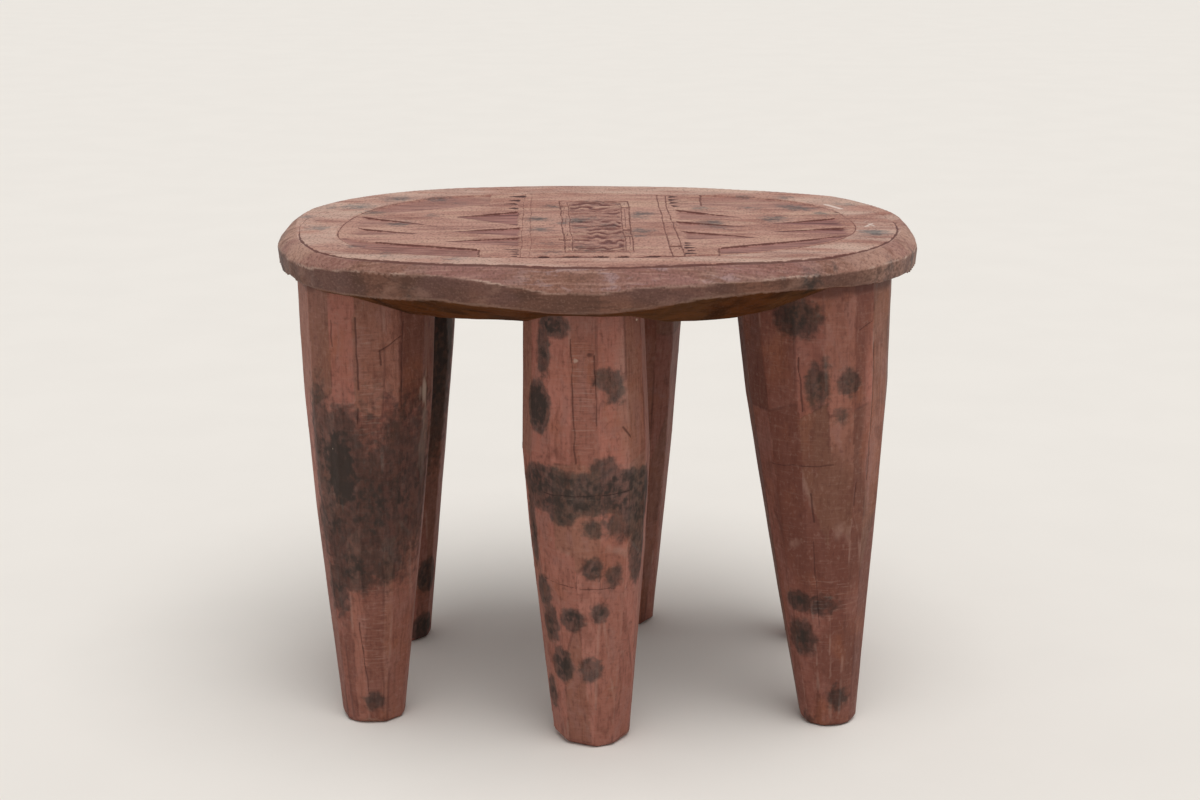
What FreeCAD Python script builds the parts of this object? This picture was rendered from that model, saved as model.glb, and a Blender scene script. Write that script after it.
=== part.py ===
import FreeCAD, Part
import math
import os

import Sketcher

# A low carved stool: an oval seat with a bevelled rim and a carved top, on six faceted, tapering legs.
# Each leg has a round tenon that stands in a blind mortise in the underside of the seat.
# Millimetres, +Z up, +X along the length of the seat, origin on the floor under the middle of the seat.

LEG_FACETS = 10

# Driving sizes of the seat, the carving and what all legs share: alias, value, meaning.
SEAT_SIZES = [
    ("seat_width", 347, "length of the oval seat along X"),
    ("seat_depth", 262, "width of the oval seat along Y"),
    ("stool_height", 261, "floor to the top of the seat"),
    ("seat_thickness", 29, "top of the seat to its flat underside"),
    ("oval_shoulder", 6, "how much the end arcs' radius falls short of half the seat's depth"),
    ("rim_bevel_width", 8, "setback of the bevel round the top of the rim"),
    ("rim_bevel_drop", 7, "height of the bevel round the top of the rim"),
    ("under_bevel_width", 12, "setback of the sloping underside of the rim"),
    ("under_bevel_drop", 11, "height of the sloping underside of the rim"),
    ("groove_width", 2, "width of every carved line"),
    ("groove_depth", 1.5, "depth of every carved line"),
    ("border_gap", 1.5, "rim bevel to the outer carved oval"),
    ("border_width", 23, "outer carved oval to the inner carved oval"),
    ("bar_offset", 36, "middle of the seat to the nearer line of each pair of cross lines"),
    ("bar_spacing", 5, "distance between the two lines of a pair"),
    ("bar_end_gap", 5, "inner carved oval to the ends of the cross lines"),
    ("frame_end_gap", 18, "inner carved oval to the ends of the carved frame between the cross lines"),
    ("frame_width", 38, "width of the carved frame between the cross lines, along X"),
    ("chip_depth", 2, "depth of the carved wedges"),
    ("chip_gap", 3, "cross lines to the wedges that start at them"),
    ("chip_length", 36, "length of a carved wedge"),
    ("chip_base", 20, "width of a carved wedge at its wide end"),
    ("chip_pitch", 30, "distance between neighbouring wedges"),
    ("tip_chip_gap", 9, "end of the inner carved oval to the wedges there"),
    ("tenon_diameter", 28, "round tenon on top of each leg"),
    ("tenon_length", 15, "how far a tenon stands above the underside of the seat"),
    ("tenon_clearance", 0.2, "gap between a tenon and the wall of its mortise"),
    ("mortise_end_gap", 1, "gap above the end of a tenon"),
    ("knee_height", 165, "floor to the height where the legs start to taper strongly"),
    ("foot_bevel", 2.5, "bevel round the bottom of each foot"),
]

# Each leg is carved by eye, so each has its own place and girth.
# A corner leg is placed from the end of the seat, a middle leg from the middle of the seat.
CORNER_PLACE = ("end_inset", "end of the seat to the middle of the leg's top, along X")
MIDDLE_PLACE = ("offset", "middle of the seat to the middle of the leg's top, along X")
LEG_SIZES = [
    ("edge_inset", "edge of the seat to the middle of the leg's top, along Y"),
    ("lean_x", "how far the foot stands from under the leg's top, along X"),
    ("lean_y", "how far the foot stands from under the leg's top, along Y"),
    ("top_width", "width across the leg where it meets the seat"),
    ("knee_width", "width across the leg at the knee height"),
    ("foot_width", "width across the foot"),
]
# Name, which end (-1 left, 0 middle, 1 right), which edge (-1 front, 1 back), and the sizes in order.
LEGS = [
    ("front_left", -1, -1, (53.5, 80, -1, -9, 71, 65, 34)),
    ("front_middle", 0, -1, (-7, 45, 5, -1, 62, 67, 41)),
    ("front_right", 1, -1, (61, 78, 13.5, -13, 80, 71, 31)),
    ("back_left", -1, 1, (56.5, 86, 0, 10, 71, 66, 34)),
    ("back_middle", 0, 1, (16, 52, 0, 3, 67, 65, 38)),
    ("back_right", 1, 1, (54.5, 88, 10, 10, 70, 65, 31)),
]


class Size:
    """A length known twice: as its number now, and as the sheet expression that drives it."""

    def __init__(self, text, value):
        self.text = text
        self.value = value

    def joined(self, sign, other, value):
        return Size(f"({self.text} {sign} {as_size(other).text})", value)

    def __add__(self, other):
        return self.joined("+", other, self.value + as_size(other).value)

    def __sub__(self, other):
        return self.joined("-", other, self.value - as_size(other).value)

    def __mul__(self, other):
        return self.joined("*", other, self.value * as_size(other).value)

    def __truediv__(self, other):
        return self.joined("/", other, self.value / as_size(other).value)

    def __neg__(self):
        return self * -1


def as_size(value):
    """Lets a plain number stand beside a driving size in a formula."""
    if isinstance(value, Size):
        return value
    return Size(f"({value})", value)


ZERO = as_size(0)


def make_sheet(doc):
    """Writes every driving size to the sheet and returns them by alias."""
    rows = list(SEAT_SIZES)
    for name, end, _, values in LEGS:
        place = CORNER_PLACE if end else MIDDLE_PLACE
        for (size, meaning), value in zip([place] + LEG_SIZES, values):
            rows.append((f"{name}_{size}", value, meaning))
    sheet = doc.addObject("Spreadsheet::Sheet", "Sizes")
    sizes = {}
    for row, (alias, value, meaning) in enumerate(rows, start=1):
        sheet.set(f"A{row}", meaning)
        sheet.set(f"B{row}", str(value))
        sheet.setAlias(f"B{row}", alias)
        sizes[alias] = Size(f"Sizes.{alias}", value)
    doc.recompute()
    return sizes


def bind(thing, prop, size):
    """Drives one property of an object from the sheet."""
    thing.setExpression(prop, as_size(size).text)


def level_sketch(body, name, height, x=ZERO, y=ZERO):
    """A sketch in its body, parallel to the floor at a height, with its own origin moved to x, y."""
    sketch = body.newObject("Sketcher::SketchObject", name)
    plane = [p for p in body.Origin.OriginFeatures if p.Role == "XY_Plane"][0]
    sketch.AttachmentSupport = (plane, "")
    sketch.MapMode = "FlatFace"
    bind(sketch, "AttachmentOffset.Base.x", x)
    bind(sketch, "AttachmentOffset.Base.y", y)
    bind(sketch, "AttachmentOffset.Base.z", height)
    return sketch


def dimension(sketch, kind, where, size):
    """Adds one driving dimension to a sketch."""
    index = sketch.addConstraint(Sketcher.Constraint(kind, *where, size.value))
    bind(sketch, f"Constraints[{index}]", size)


def place_point(sketch, geometry, point, x, y):
    """Fixes one point of a sketch at x, y from the sketch's origin."""
    dimension(sketch, "DistanceX", (-1, 1, geometry, point), as_size(x))
    dimension(sketch, "DistanceY", (-1, 1, geometry, point), as_size(y))


def draw_outline(sketch, corners):
    """A closed straight-sided outline through corners given as x, y sizes."""
    points = [FreeCAD.Vector(as_size(x).value, as_size(y).value, 0) for x, y in corners]
    first = sketch.GeometryCount
    count = len(points)
    for i in range(count):
        sketch.addGeometry(Part.LineSegment(points[i], points[(i + 1) % count]))
    for i, (x, y) in enumerate(corners):
        following = first + (i + 1) % count
        sketch.addConstraint(Sketcher.Constraint("Coincident", first + i, 2, following, 1))
        place_point(sketch, first + i, 1, x, y)


def draw_box(sketch, x_low, x_high, y_low, y_high):
    """A closed rectangle between two X and two Y places."""
    draw_outline(sketch, [(x_low, y_low), (x_high, y_low), (x_high, y_high), (x_low, y_high)])


def draw_polygon(sketch, width):
    """A regular polygon with two opposite corners on the sketch's X axis, width apart."""
    radius = width / 2
    circle = sketch.addGeometry(Part.Circle(FreeCAD.Vector(), FreeCAD.Vector(0, 0, 1), radius.value), True)
    sketch.addConstraint(Sketcher.Constraint("Coincident", circle, 3, -1, 1))
    dimension(sketch, "Radius", (circle,), radius)
    corners = []
    for i in range(LEG_FACETS):
        angle = 2 * math.pi * i / LEG_FACETS
        corners.append(FreeCAD.Vector(math.cos(angle), math.sin(angle), 0) * radius.value)
    first = sketch.GeometryCount
    for i in range(LEG_FACETS):
        sketch.addGeometry(Part.LineSegment(corners[i], corners[(i + 1) % LEG_FACETS]))
    for i in range(LEG_FACETS):
        following = first + (i + 1) % LEG_FACETS
        sketch.addConstraint(Sketcher.Constraint("Coincident", first + i, 2, following, 1))
        sketch.addConstraint(Sketcher.Constraint("PointOnObject", first + i, 1, circle))
        if i:
            sketch.addConstraint(Sketcher.Constraint("Equal", first, first + i))
    sketch.addConstraint(Sketcher.Constraint("PointOnObject", first, 1, -1))


class Oval:
    """The seat's plan: two end arcs and two side arcs that meet smoothly."""

    def __init__(self, sizes):
        half_depth = sizes["seat_depth"] / 2
        shoulder = sizes["oval_shoulder"]
        self.end_radius = half_depth - shoulder
        self.end_centre = sizes["seat_width"] / 2 - self.end_radius
        half_sum = (half_depth + self.end_radius) / 2
        self.side_radius = self.end_centre * self.end_centre / (shoulder * 2) + half_sum
        self.side_centre = half_depth - self.side_radius

    def draw(self, sketch, inset):
        """Draws the oval, moved inwards by inset, as four joined arcs."""
        end_radius = self.end_radius - inset
        side_radius = self.side_radius - inset
        join = math.atan2(-self.side_centre.value, self.end_centre.value)
        right = (self.end_centre, ZERO, end_radius, -join, join)
        back = (ZERO, self.side_centre, side_radius, join, math.pi - join)
        left = (-self.end_centre, ZERO, end_radius, math.pi - join, math.pi + join)
        front = (ZERO, -self.side_centre, side_radius, math.pi + join, 2 * math.pi - join)
        arcs = [right, back, left, front]
        first = sketch.GeometryCount
        for x, y, radius, start, end in arcs:
            centre = FreeCAD.Vector(x.value, y.value, 0)
            circle = Part.Circle(centre, FreeCAD.Vector(0, 0, 1), radius.value)
            sketch.addGeometry(Part.ArcOfCircle(circle, start, end))
        for i, (_, _, radius, _, _) in enumerate(arcs):
            following = first + (i + 1) % len(arcs)
            sketch.addConstraint(Sketcher.Constraint("Tangent", first + i, 2, following, 1))
            dimension(sketch, "Radius", (first + i,), radius)
        place_point(sketch, first + arcs.index(right), 3, right[0], right[1])
        place_point(sketch, first + arcs.index(left), 3, left[0], left[1])


def level_face(feature, upward):
    """The name of a feature's highest level face, or of its lowest."""
    sign = 1 if upward else -1
    named = []
    for i, face in enumerate(feature.Shape.Faces, start=1):
        if face.normalAt(0, 0).z * sign > 0.99:
            named.append((face.CenterOfMass.z * sign, f"Face{i}"))
    return max(named)[1]


def bevel(body, sizes, name, base, face):
    """Bevels the edges of a level face by the bevel's own width and drop."""
    feature = body.newObject("PartDesign::Chamfer", name.title().replace("_", ""))
    feature.Base = (base, [face])
    feature.ChamferType = "Two distances"
    bind(feature, "Size", sizes[name + "_drop"])
    bind(feature, "Size2", sizes[name + "_width"])
    return feature


def cut_in(doc, body, name, sketch, depth):
    """Cuts a sketch down into its body."""
    before = body.Shape.Volume
    pocket = body.newObject("PartDesign::Pocket", name)
    pocket.Profile = sketch
    bind(pocket, "Length", depth)
    sketch.Visibility = False
    doc.recompute()
    if body.Shape.Volume >= before:
        raise RuntimeError(f"{name} cuts nothing")


def draw_cross_lines(sketch, sizes, field_inset):
    """Two pairs of carved lines across the seat, and the frame between them."""
    width = sizes["groove_width"]
    field_reach = sizes["seat_depth"] / 2 - field_inset
    reach = field_reach - sizes["bar_end_gap"]
    for offset in (sizes["bar_offset"], sizes["bar_offset"] + sizes["bar_spacing"]):
        draw_box(sketch, offset, offset + width, -reach, reach)
        draw_box(sketch, -offset - width, -offset, -reach, reach)
    half_width = sizes["frame_width"] / 2
    half_length = field_reach - sizes["frame_end_gap"]
    draw_box(sketch, -half_width, half_width, -half_length, half_length)
    draw_box(sketch, -half_width + width, half_width - width, -half_length + width, half_length - width)


def draw_wedges(sketch, sizes, field_inset):
    """Carved wedges: three point outwards from each pair of cross lines, two point back at them."""
    half_base = sizes["chip_base"] / 2
    start = sizes["bar_offset"] + sizes["bar_spacing"] + sizes["groove_width"] + sizes["chip_gap"]
    end_start = sizes["seat_width"] / 2 - field_inset - sizes["tip_chip_gap"]
    length = sizes["chip_length"]
    rows = [(start, start + length, step) for step in (-1, 0, 1)]
    rows += [(end_start, end_start - length, step) for step in (-0.5, 0.5)]
    for end in (-1, 1):
        for wide, tip, step in rows:
            middle = sizes["chip_pitch"] * step
            corners = [(wide, middle - half_base), (tip, middle), (wide, middle + half_base)]
            draw_outline(sketch, [(x * end, y) for x, y in corners])


def make_seat_block(doc, sizes):
    """The oval seat with its bevels and its carved top, before the mortises."""
    oval = Oval(sizes)
    top = sizes["stool_height"]
    body = doc.addObject("PartDesign::Body", "SeatBlock")
    plan = level_sketch(body, "SeatPlan", top - sizes["seat_thickness"])
    oval.draw(plan, ZERO)
    doc.recompute()
    slab = body.newObject("PartDesign::Pad", "SeatSlab")
    slab.Profile = plan
    bind(slab, "Length", sizes["seat_thickness"])
    doc.recompute()
    upper = bevel(body, sizes, "rim_bevel", slab, level_face(slab, True))
    doc.recompute()
    bevel(body, sizes, "under_bevel", upper, level_face(upper, False))
    doc.recompute()

    border_inset = sizes["rim_bevel_width"] + sizes["border_gap"]
    field_inset = border_inset + sizes["border_width"]
    for name, inset in (("BorderLine", border_inset), ("FieldLine", field_inset)):
        ring = level_sketch(body, name + "Plan", top)
        oval.draw(ring, inset)
        oval.draw(ring, inset + sizes["groove_width"])
        cut_in(doc, body, name, ring, sizes["groove_depth"])
    field_edge = field_inset + sizes["groove_width"]
    lines = level_sketch(body, "CrossLinesPlan", top)
    draw_cross_lines(lines, sizes, field_edge)
    cut_in(doc, body, "CrossLines", lines, sizes["groove_depth"])
    wedges = level_sketch(body, "WedgesPlan", top)
    draw_wedges(wedges, sizes, field_edge)
    cut_in(doc, body, "Wedges", wedges, sizes["chip_depth"])
    return body


class LegPlace:
    """Where one leg stands: the middle of its top, and of its foot."""

    def __init__(self, sizes, name, end, edge):
        if end:
            self.top_x = (sizes["seat_width"] / 2 - sizes[f"{name}_end_inset"]) * end
        else:
            self.top_x = sizes[f"{name}_offset"]
        self.top_y = (sizes["seat_depth"] / 2 - sizes[f"{name}_edge_inset"]) * edge
        self.lean_x = sizes[f"{name}_lean_x"]
        self.lean_y = sizes[f"{name}_lean_y"]

    def at(self, share):
        """The middle of the leg at a share of its height, 0 at the floor and 1 at its top."""
        back = as_size(1) - share
        return self.top_x + self.lean_x * back, self.top_y + self.lean_y * back


def upright_cylinder(doc, name, x, y, bottom, diameter, length):
    """A round upright solid, for a tenon or a mortise."""
    cylinder = doc.addObject("Part::Cylinder", name)
    bind(cylinder, "Radius", diameter / 2)
    bind(cylinder, "Height", length)
    bind(cylinder, "Placement.Base.x", x)
    bind(cylinder, "Placement.Base.y", y)
    bind(cylinder, "Placement.Base.z", bottom)
    return cylinder


def make_leg(doc, sizes, name, place, seat_block):
    """One faceted leg, shaped at its top to the underside of the seat, with its tenon."""
    underside = sizes["stool_height"] - sizes["seat_thickness"]
    leg_top = underside + sizes["under_bevel_drop"]
    bevel_size = sizes["foot_bevel"]
    knee = sizes["knee_height"]
    levels = [
        ("Sole", ZERO, sizes[f"{name}_foot_width"] - bevel_size * 2),
        ("Foot", bevel_size, sizes[f"{name}_foot_width"]),
        ("Knee", knee, sizes[f"{name}_knee_width"]),
        ("Top", leg_top, sizes[f"{name}_top_width"]),
    ]
    title = name.title().replace("_", "")
    body = doc.addObject("PartDesign::Body", title + "Block")
    sections = []
    for level, height, width in levels:
        x, y = place.at(height / leg_top)
        section = level_sketch(body, title + level, height, x, y)
        draw_polygon(section, width)
        sections.append(section)
    doc.recompute()
    loft = body.newObject("PartDesign::AdditiveLoft", title + "Loft")
    loft.Profile = sections[0]
    loft.Sections = sections[1:]
    loft.Ruled = True
    doc.recompute()

    shouldered = doc.addObject("Part::Cut", title + "Shouldered")
    shouldered.Base = body
    shouldered.Tool = seat_block
    root = sizes["tenon_length"]
    tenon = upright_cylinder(doc, title + "Tenon", place.top_x, place.top_y, underside - root,
                             sizes["tenon_diameter"], root * 2)
    leg = doc.addObject("Part::Fuse", title + "Leg")
    leg.Base = shouldered
    leg.Tool = tenon
    leg.Refine = True
    leg.Label = "leg_" + name
    return leg


def make_seat(doc, sizes, seat_block, places):
    """The seat with one blind mortise for each leg."""
    underside = sizes["stool_height"] - sizes["seat_thickness"]
    diameter = sizes["tenon_diameter"] + sizes["tenon_clearance"] * 2
    depth = sizes["tenon_length"] + sizes["mortise_end_gap"]
    mortises = []
    for name, place in places.items():
        title = name.title().replace("_", "") + "Mortise"
        mortises.append(upright_cylinder(doc, title, place.top_x, place.top_y, underside, diameter, depth))
    holes = doc.addObject("Part::MultiFuse", "Mortises")
    holes.Shapes = mortises
    seat = doc.addObject("Part::Cut", "Seat")
    seat.Base = seat_block
    seat.Tool = holes
    seat.Label = "seat"
    return seat


def check_document(doc, parts):
    """Stops the macro if any object failed or any part is not one valid solid."""
    for thing in doc.Objects:
        if "Invalid" in thing.State or "Error" in thing.State:
            raise RuntimeError(f"{thing.Name} failed: {thing.State}")
    for part in parts:
        shape = part.Shape
        if shape.isNull() or not shape.isValid() or len(shape.Solids) != 1:
            raise RuntimeError(f"{part.Label} is not one valid solid")


def main():
    doc = FreeCAD.newDocument("CarvedStool")
    sizes = make_sheet(doc)
    places = {name: LegPlace(sizes, name, end, edge) for name, end, edge, _ in LEGS}
    seat_block = make_seat_block(doc, sizes)
    parts = [make_seat(doc, sizes, seat_block, places)]
    for name, place in places.items():
        parts.append(make_leg(doc, sizes, name, place, seat_block))
    doc.recompute()
    check_document(doc, parts)

    os.makedirs("parts", exist_ok=True)
    for part in parts:
        part.Shape.exportStep(f"parts/{part.Label}.step")
        box = part.Shape.BoundBox
        print(f"{part.Label}: volume {part.Shape.Volume:.0f}, X {box.XMin:.1f} to {box.XMax:.1f}, "
              f"Y {box.YMin:.1f} to {box.YMax:.1f}, Z {box.ZMin:.1f} to {box.ZMax:.1f}")


main()
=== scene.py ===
"""Dress the carved stool: six hewn legs under an oval, chip-carved seat, on a pale floor."""

import logging
import math
from dataclasses import astuple, dataclass
from enum import Enum

import bmesh
import bpy
import numpy as np
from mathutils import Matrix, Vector


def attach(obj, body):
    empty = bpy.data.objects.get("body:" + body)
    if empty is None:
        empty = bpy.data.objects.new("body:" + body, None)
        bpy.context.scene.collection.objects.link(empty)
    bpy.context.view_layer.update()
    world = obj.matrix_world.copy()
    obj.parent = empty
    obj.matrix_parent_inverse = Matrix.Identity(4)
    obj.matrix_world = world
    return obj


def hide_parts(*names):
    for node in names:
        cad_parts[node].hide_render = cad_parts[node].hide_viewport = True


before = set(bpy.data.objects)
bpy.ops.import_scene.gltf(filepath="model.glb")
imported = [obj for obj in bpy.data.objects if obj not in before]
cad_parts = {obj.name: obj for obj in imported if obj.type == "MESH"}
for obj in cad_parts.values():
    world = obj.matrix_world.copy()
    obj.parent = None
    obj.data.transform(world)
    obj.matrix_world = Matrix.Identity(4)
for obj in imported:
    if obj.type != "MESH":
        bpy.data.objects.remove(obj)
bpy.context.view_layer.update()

LOG = logging.getLogger("stool")
MM = 0.001
Point = tuple[float, float]
Colour = tuple[float, float, float]
Socket = bpy.types.NodeSocket
# A distance in millimetres that is beyond the reach of every carved line.
FAR = 9.0
# How many random values a noise repeats, and the step between them along each axis.
NOISE_COUNT = 4096
NOISE_STEPS = (73**2, 179**2, 283**2)


class Mark(Enum):
    """Named values that a piece stores on its vertices for its finish to read."""

    TONE = "tone"
    HUE = "hue"
    EDGE = "edge"
    # Cracks, and the painted shade at the top of each leg just under the seat.
    CRACK = "crack"
    CHATTER = "chatter"
    # Burnt patches, and painted shade drawn as burnt patches.
    BURN = "burn"
    DUST = "dust"
    PALE = "pale"
    # Groove and wall: distances to lines drawn as painted shadow.
    GROOVE = "groove"
    FIELD = "field"
    RULE = "rule"
    WALL = "wall"
    # Floor and dip: shares of the cuts' dark colour, partly painted shade.
    FLOOR = "floor"
    DIP = "dip"
    BEVEL = "bevel"
    SIDE = "side"
    # The underside, whose colour is darkened as painted shade.
    UNDER = "under"


class Slot(Enum):
    """Two material slot names, which nothing here uses."""

    SEAT = "seat_wood"
    LEG = "leg_wood"


def tint(red: int, green: int, blue: int) -> Colour:
    """Turn a screen colour of 0 to 255 into the linear colour that a shader takes.

    Args:
        red: Red share.
        green: Green share.
        blue: Blue share.

    Returns:
        The linear colour.
    """

    def linear(share: int) -> float:
        """Undo the screen's curve for one share."""
        value = share / 255
        return value / 12.92 if value <= 0.04045 else ((value + 0.055) / 1.055) ** 2.4

    return linear(red), linear(green), linear(blue)


def soft_step(value: np.ndarray, low: float, high: float) -> np.ndarray:
    """Rise smoothly from 0 at low to 1 at high.

    Args:
        value: The values to read.
        low: Where the rise starts.
        high: Where the rise ends.

    Returns:
        A share of 0 to 1 for each value.
    """
    share = np.clip((value - low) / (high - low), 0.0, 1.0)
    return share * share * (3.0 - 2.0 * share)


def grain_noise(points: np.ndarray, size: float, seed: int) -> np.ndarray:
    """Give each point a smooth random value, the same on every run.

    Args:
        points: Points in millimetres, one per row.
        size: Width of a blotch in millimetres.
        seed: Which pattern to take.

    Returns:
        A value of -1 to 1 for each point.
    """
    table = np.random.default_rng(seed).uniform(-1.0, 1.0, NOISE_COUNT)
    scaled = points / size
    cell = np.floor(scaled).astype(np.int64)
    part = scaled - cell
    part = part * part * (3.0 - 2.0 * part)
    steps = np.array(NOISE_STEPS, dtype=np.int64)[: points.shape[1]]
    total = np.zeros(len(points))
    for corner in np.ndindex(*(2,) * points.shape[1]):
        offset = np.array(corner)
        spot = (cell + offset) @ steps % NOISE_COUNT
        weight = np.prod(np.where(offset, part, 1.0 - part), axis=1)
        total += weight * table[spot]
    return total


def turn_gap(turns: np.ndarray, turn: float) -> np.ndarray:
    """Give the shortest turn in degrees from one direction to each of many."""
    return (turns - turn + 180.0) % 360.0 - 180.0


def toward(turns: np.ndarray, turn: float, inner: float, outer: float) -> np.ndarray:
    """Give 1 within an inner turn of a direction, easing to 0 at an outer one.

    Args:
        turns: The directions to read, in degrees.
        turn: The direction that counts.
        inner: How far from it all still counts.
        outer: How far from it nothing counts.

    Returns:
        A share of 0 to 1 for each direction.
    """
    return soft_step(-np.abs(turn_gap(turns, turn)), -outer, -inner)


def segment_gap(points: np.ndarray, start: Point, end: Point) -> np.ndarray:
    """Measure how far each point is from a straight stroke.

    Args:
        points: Plan points, one per row.
        start: Where the stroke starts.
        end: Where the stroke ends.

    Returns:
        The distance of each point.
    """
    first, last = np.array(start), np.array(end)
    run = last - first
    share = np.clip((points - first) @ run / (run @ run), 0.0, 1.0)
    return np.hypot(*(points - first - share[:, None] * run).T)


def edge_depth(points: np.ndarray, start: Point, end: Point, within: Point) -> np.ndarray:
    """Measure how far each point lies inside a straight edge.

    Args:
        points: Plan points, one per row.
        start: One end of the edge.
        end: The other end.
        within: A point on the inner side.

    Returns:
        The distance, positive on the side of the inner point.
    """
    run = np.array(end) - np.array(start)
    across = np.array((-run[1], run[0])) / np.hypot(*run)
    if (np.array(within) - np.array(start)) @ across < 0:
        across = -across
    return (points - np.array(start)) @ across


def shape_depth(points: np.ndarray, corners: tuple[Point, ...]) -> np.ndarray:
    """Measure how far each point lies inside a straight-sided shape.

    Args:
        points: Plan points, one per row.
        corners: The shape's corners in order.

    Returns:
        The distance to the nearest side, positive inside.
    """
    centre = tuple(np.mean(corners, axis=0))
    sides = [edge_depth(points, a, b, centre) for a, b in zip(corners, np.roll(corners, -1, axis=0))]
    return np.minimum.reduce(sides)


class Workbench:
    """Small helpers that work on one mesh object with Blender's own tools."""

    @staticmethod
    def clear_selection() -> None:
        """Deselect every object."""
        if bpy.context.object and bpy.context.object.mode != "OBJECT":
            bpy.ops.object.mode_set(mode="OBJECT")
        bpy.ops.object.select_all(action="DESELECT")

    @staticmethod
    def settle() -> None:
        """Move the selected piece's place into its mesh."""
        bpy.ops.object.transform_apply(location=True, rotation=True, scale=True)

    @staticmethod
    def remesh(piece: bpy.types.Object, cell: float) -> None:
        """Rebuild a piece as one even skin and ease its edges a little.

        Args:
            piece: The piece to rebuild.
            cell: Width of a face in millimetres.
        """
        bpy.context.view_layer.objects.active = piece
        bpy.ops.object.modifier_add(type="REMESH")
        skin = piece.modifiers[-1]
        skin.mode = "VOXEL"
        skin.voxel_size = cell * MM
        bpy.ops.object.modifier_apply(modifier=skin.name)
        bpy.ops.object.modifier_add(type="SMOOTH")
        ease = piece.modifiers[-1]
        ease.factor = 0.5
        ease.iterations = 1
        bpy.ops.object.modifier_apply(modifier=ease.name)

    @staticmethod
    def points(piece: bpy.types.Object) -> np.ndarray:
        """Read a piece's vertices in millimetres."""
        flat = np.empty(len(piece.data.vertices) * 3)
        piece.data.vertices.foreach_get("co", flat)
        return flat.reshape(-1, 3) / MM

    @staticmethod
    def face_middles(piece: bpy.types.Object) -> np.ndarray:
        """Read the middles of a piece's faces in millimetres."""
        flat = np.empty(len(piece.data.polygons) * 3)
        piece.data.polygons.foreach_get("center", flat)
        return flat.reshape(-1, 3) / MM

    @staticmethod
    def edit_faces(piece: bpy.types.Object, wanted: np.ndarray) -> None:
        """Open a piece for editing with only chosen faces selected.

        Args:
            piece: The piece.
            wanted: True for each face to select.
        """
        mesh = piece.data
        mesh.vertices.foreach_set("select", np.zeros(len(mesh.vertices), dtype=bool))
        mesh.edges.foreach_set("select", np.zeros(len(mesh.edges), dtype=bool))
        mesh.polygons.foreach_set("select", wanted)
        bpy.context.view_layer.objects.active = piece
        bpy.context.tool_settings.mesh_select_mode = (False, False, True)
        bpy.ops.object.mode_set(mode="EDIT")

    @classmethod
    def divide(cls, piece: bpy.types.Object, wanted: np.ndarray) -> None:
        """Cut each side of the wanted faces in two."""
        cls.edit_faces(piece, wanted)
        bpy.ops.mesh.subdivide(number_cuts=1)
        bpy.ops.object.mode_set(mode="OBJECT")

    @classmethod
    def thin_out(cls, piece: bpy.types.Object, wanted: np.ndarray, ratio: float) -> None:
        """Keep only a share of the wanted faces, where nothing fine is seen."""
        cls.edit_faces(piece, wanted)
        bpy.ops.mesh.decimate(ratio=ratio)
        bpy.ops.object.mode_set(mode="OBJECT")

    @staticmethod
    def place_points(piece: bpy.types.Object, points: np.ndarray) -> None:
        """Write a piece's vertices, given in millimetres."""
        piece.data.vertices.foreach_set("co", (points * MM).ravel())
        piece.data.update()

    @staticmethod
    def store(piece: bpy.types.Object, mark: Mark, values: np.ndarray) -> None:
        """Keep one value per vertex for the finish to read."""
        layer = piece.data.attributes.new(mark.value, "FLOAT", "POINT")
        layer.data.foreach_set("value", values.astype(np.float32))

    @staticmethod
    def close_up() -> None:
        """Turn all faces of the active piece outwards and shade them smoothly."""
        bpy.ops.object.mode_set(mode="EDIT")
        bpy.ops.mesh.select_all(action="SELECT")
        bpy.ops.mesh.normals_make_consistent(inside=False)
        bpy.ops.object.mode_set(mode="OBJECT")
        bpy.ops.object.shade_smooth()


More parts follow.
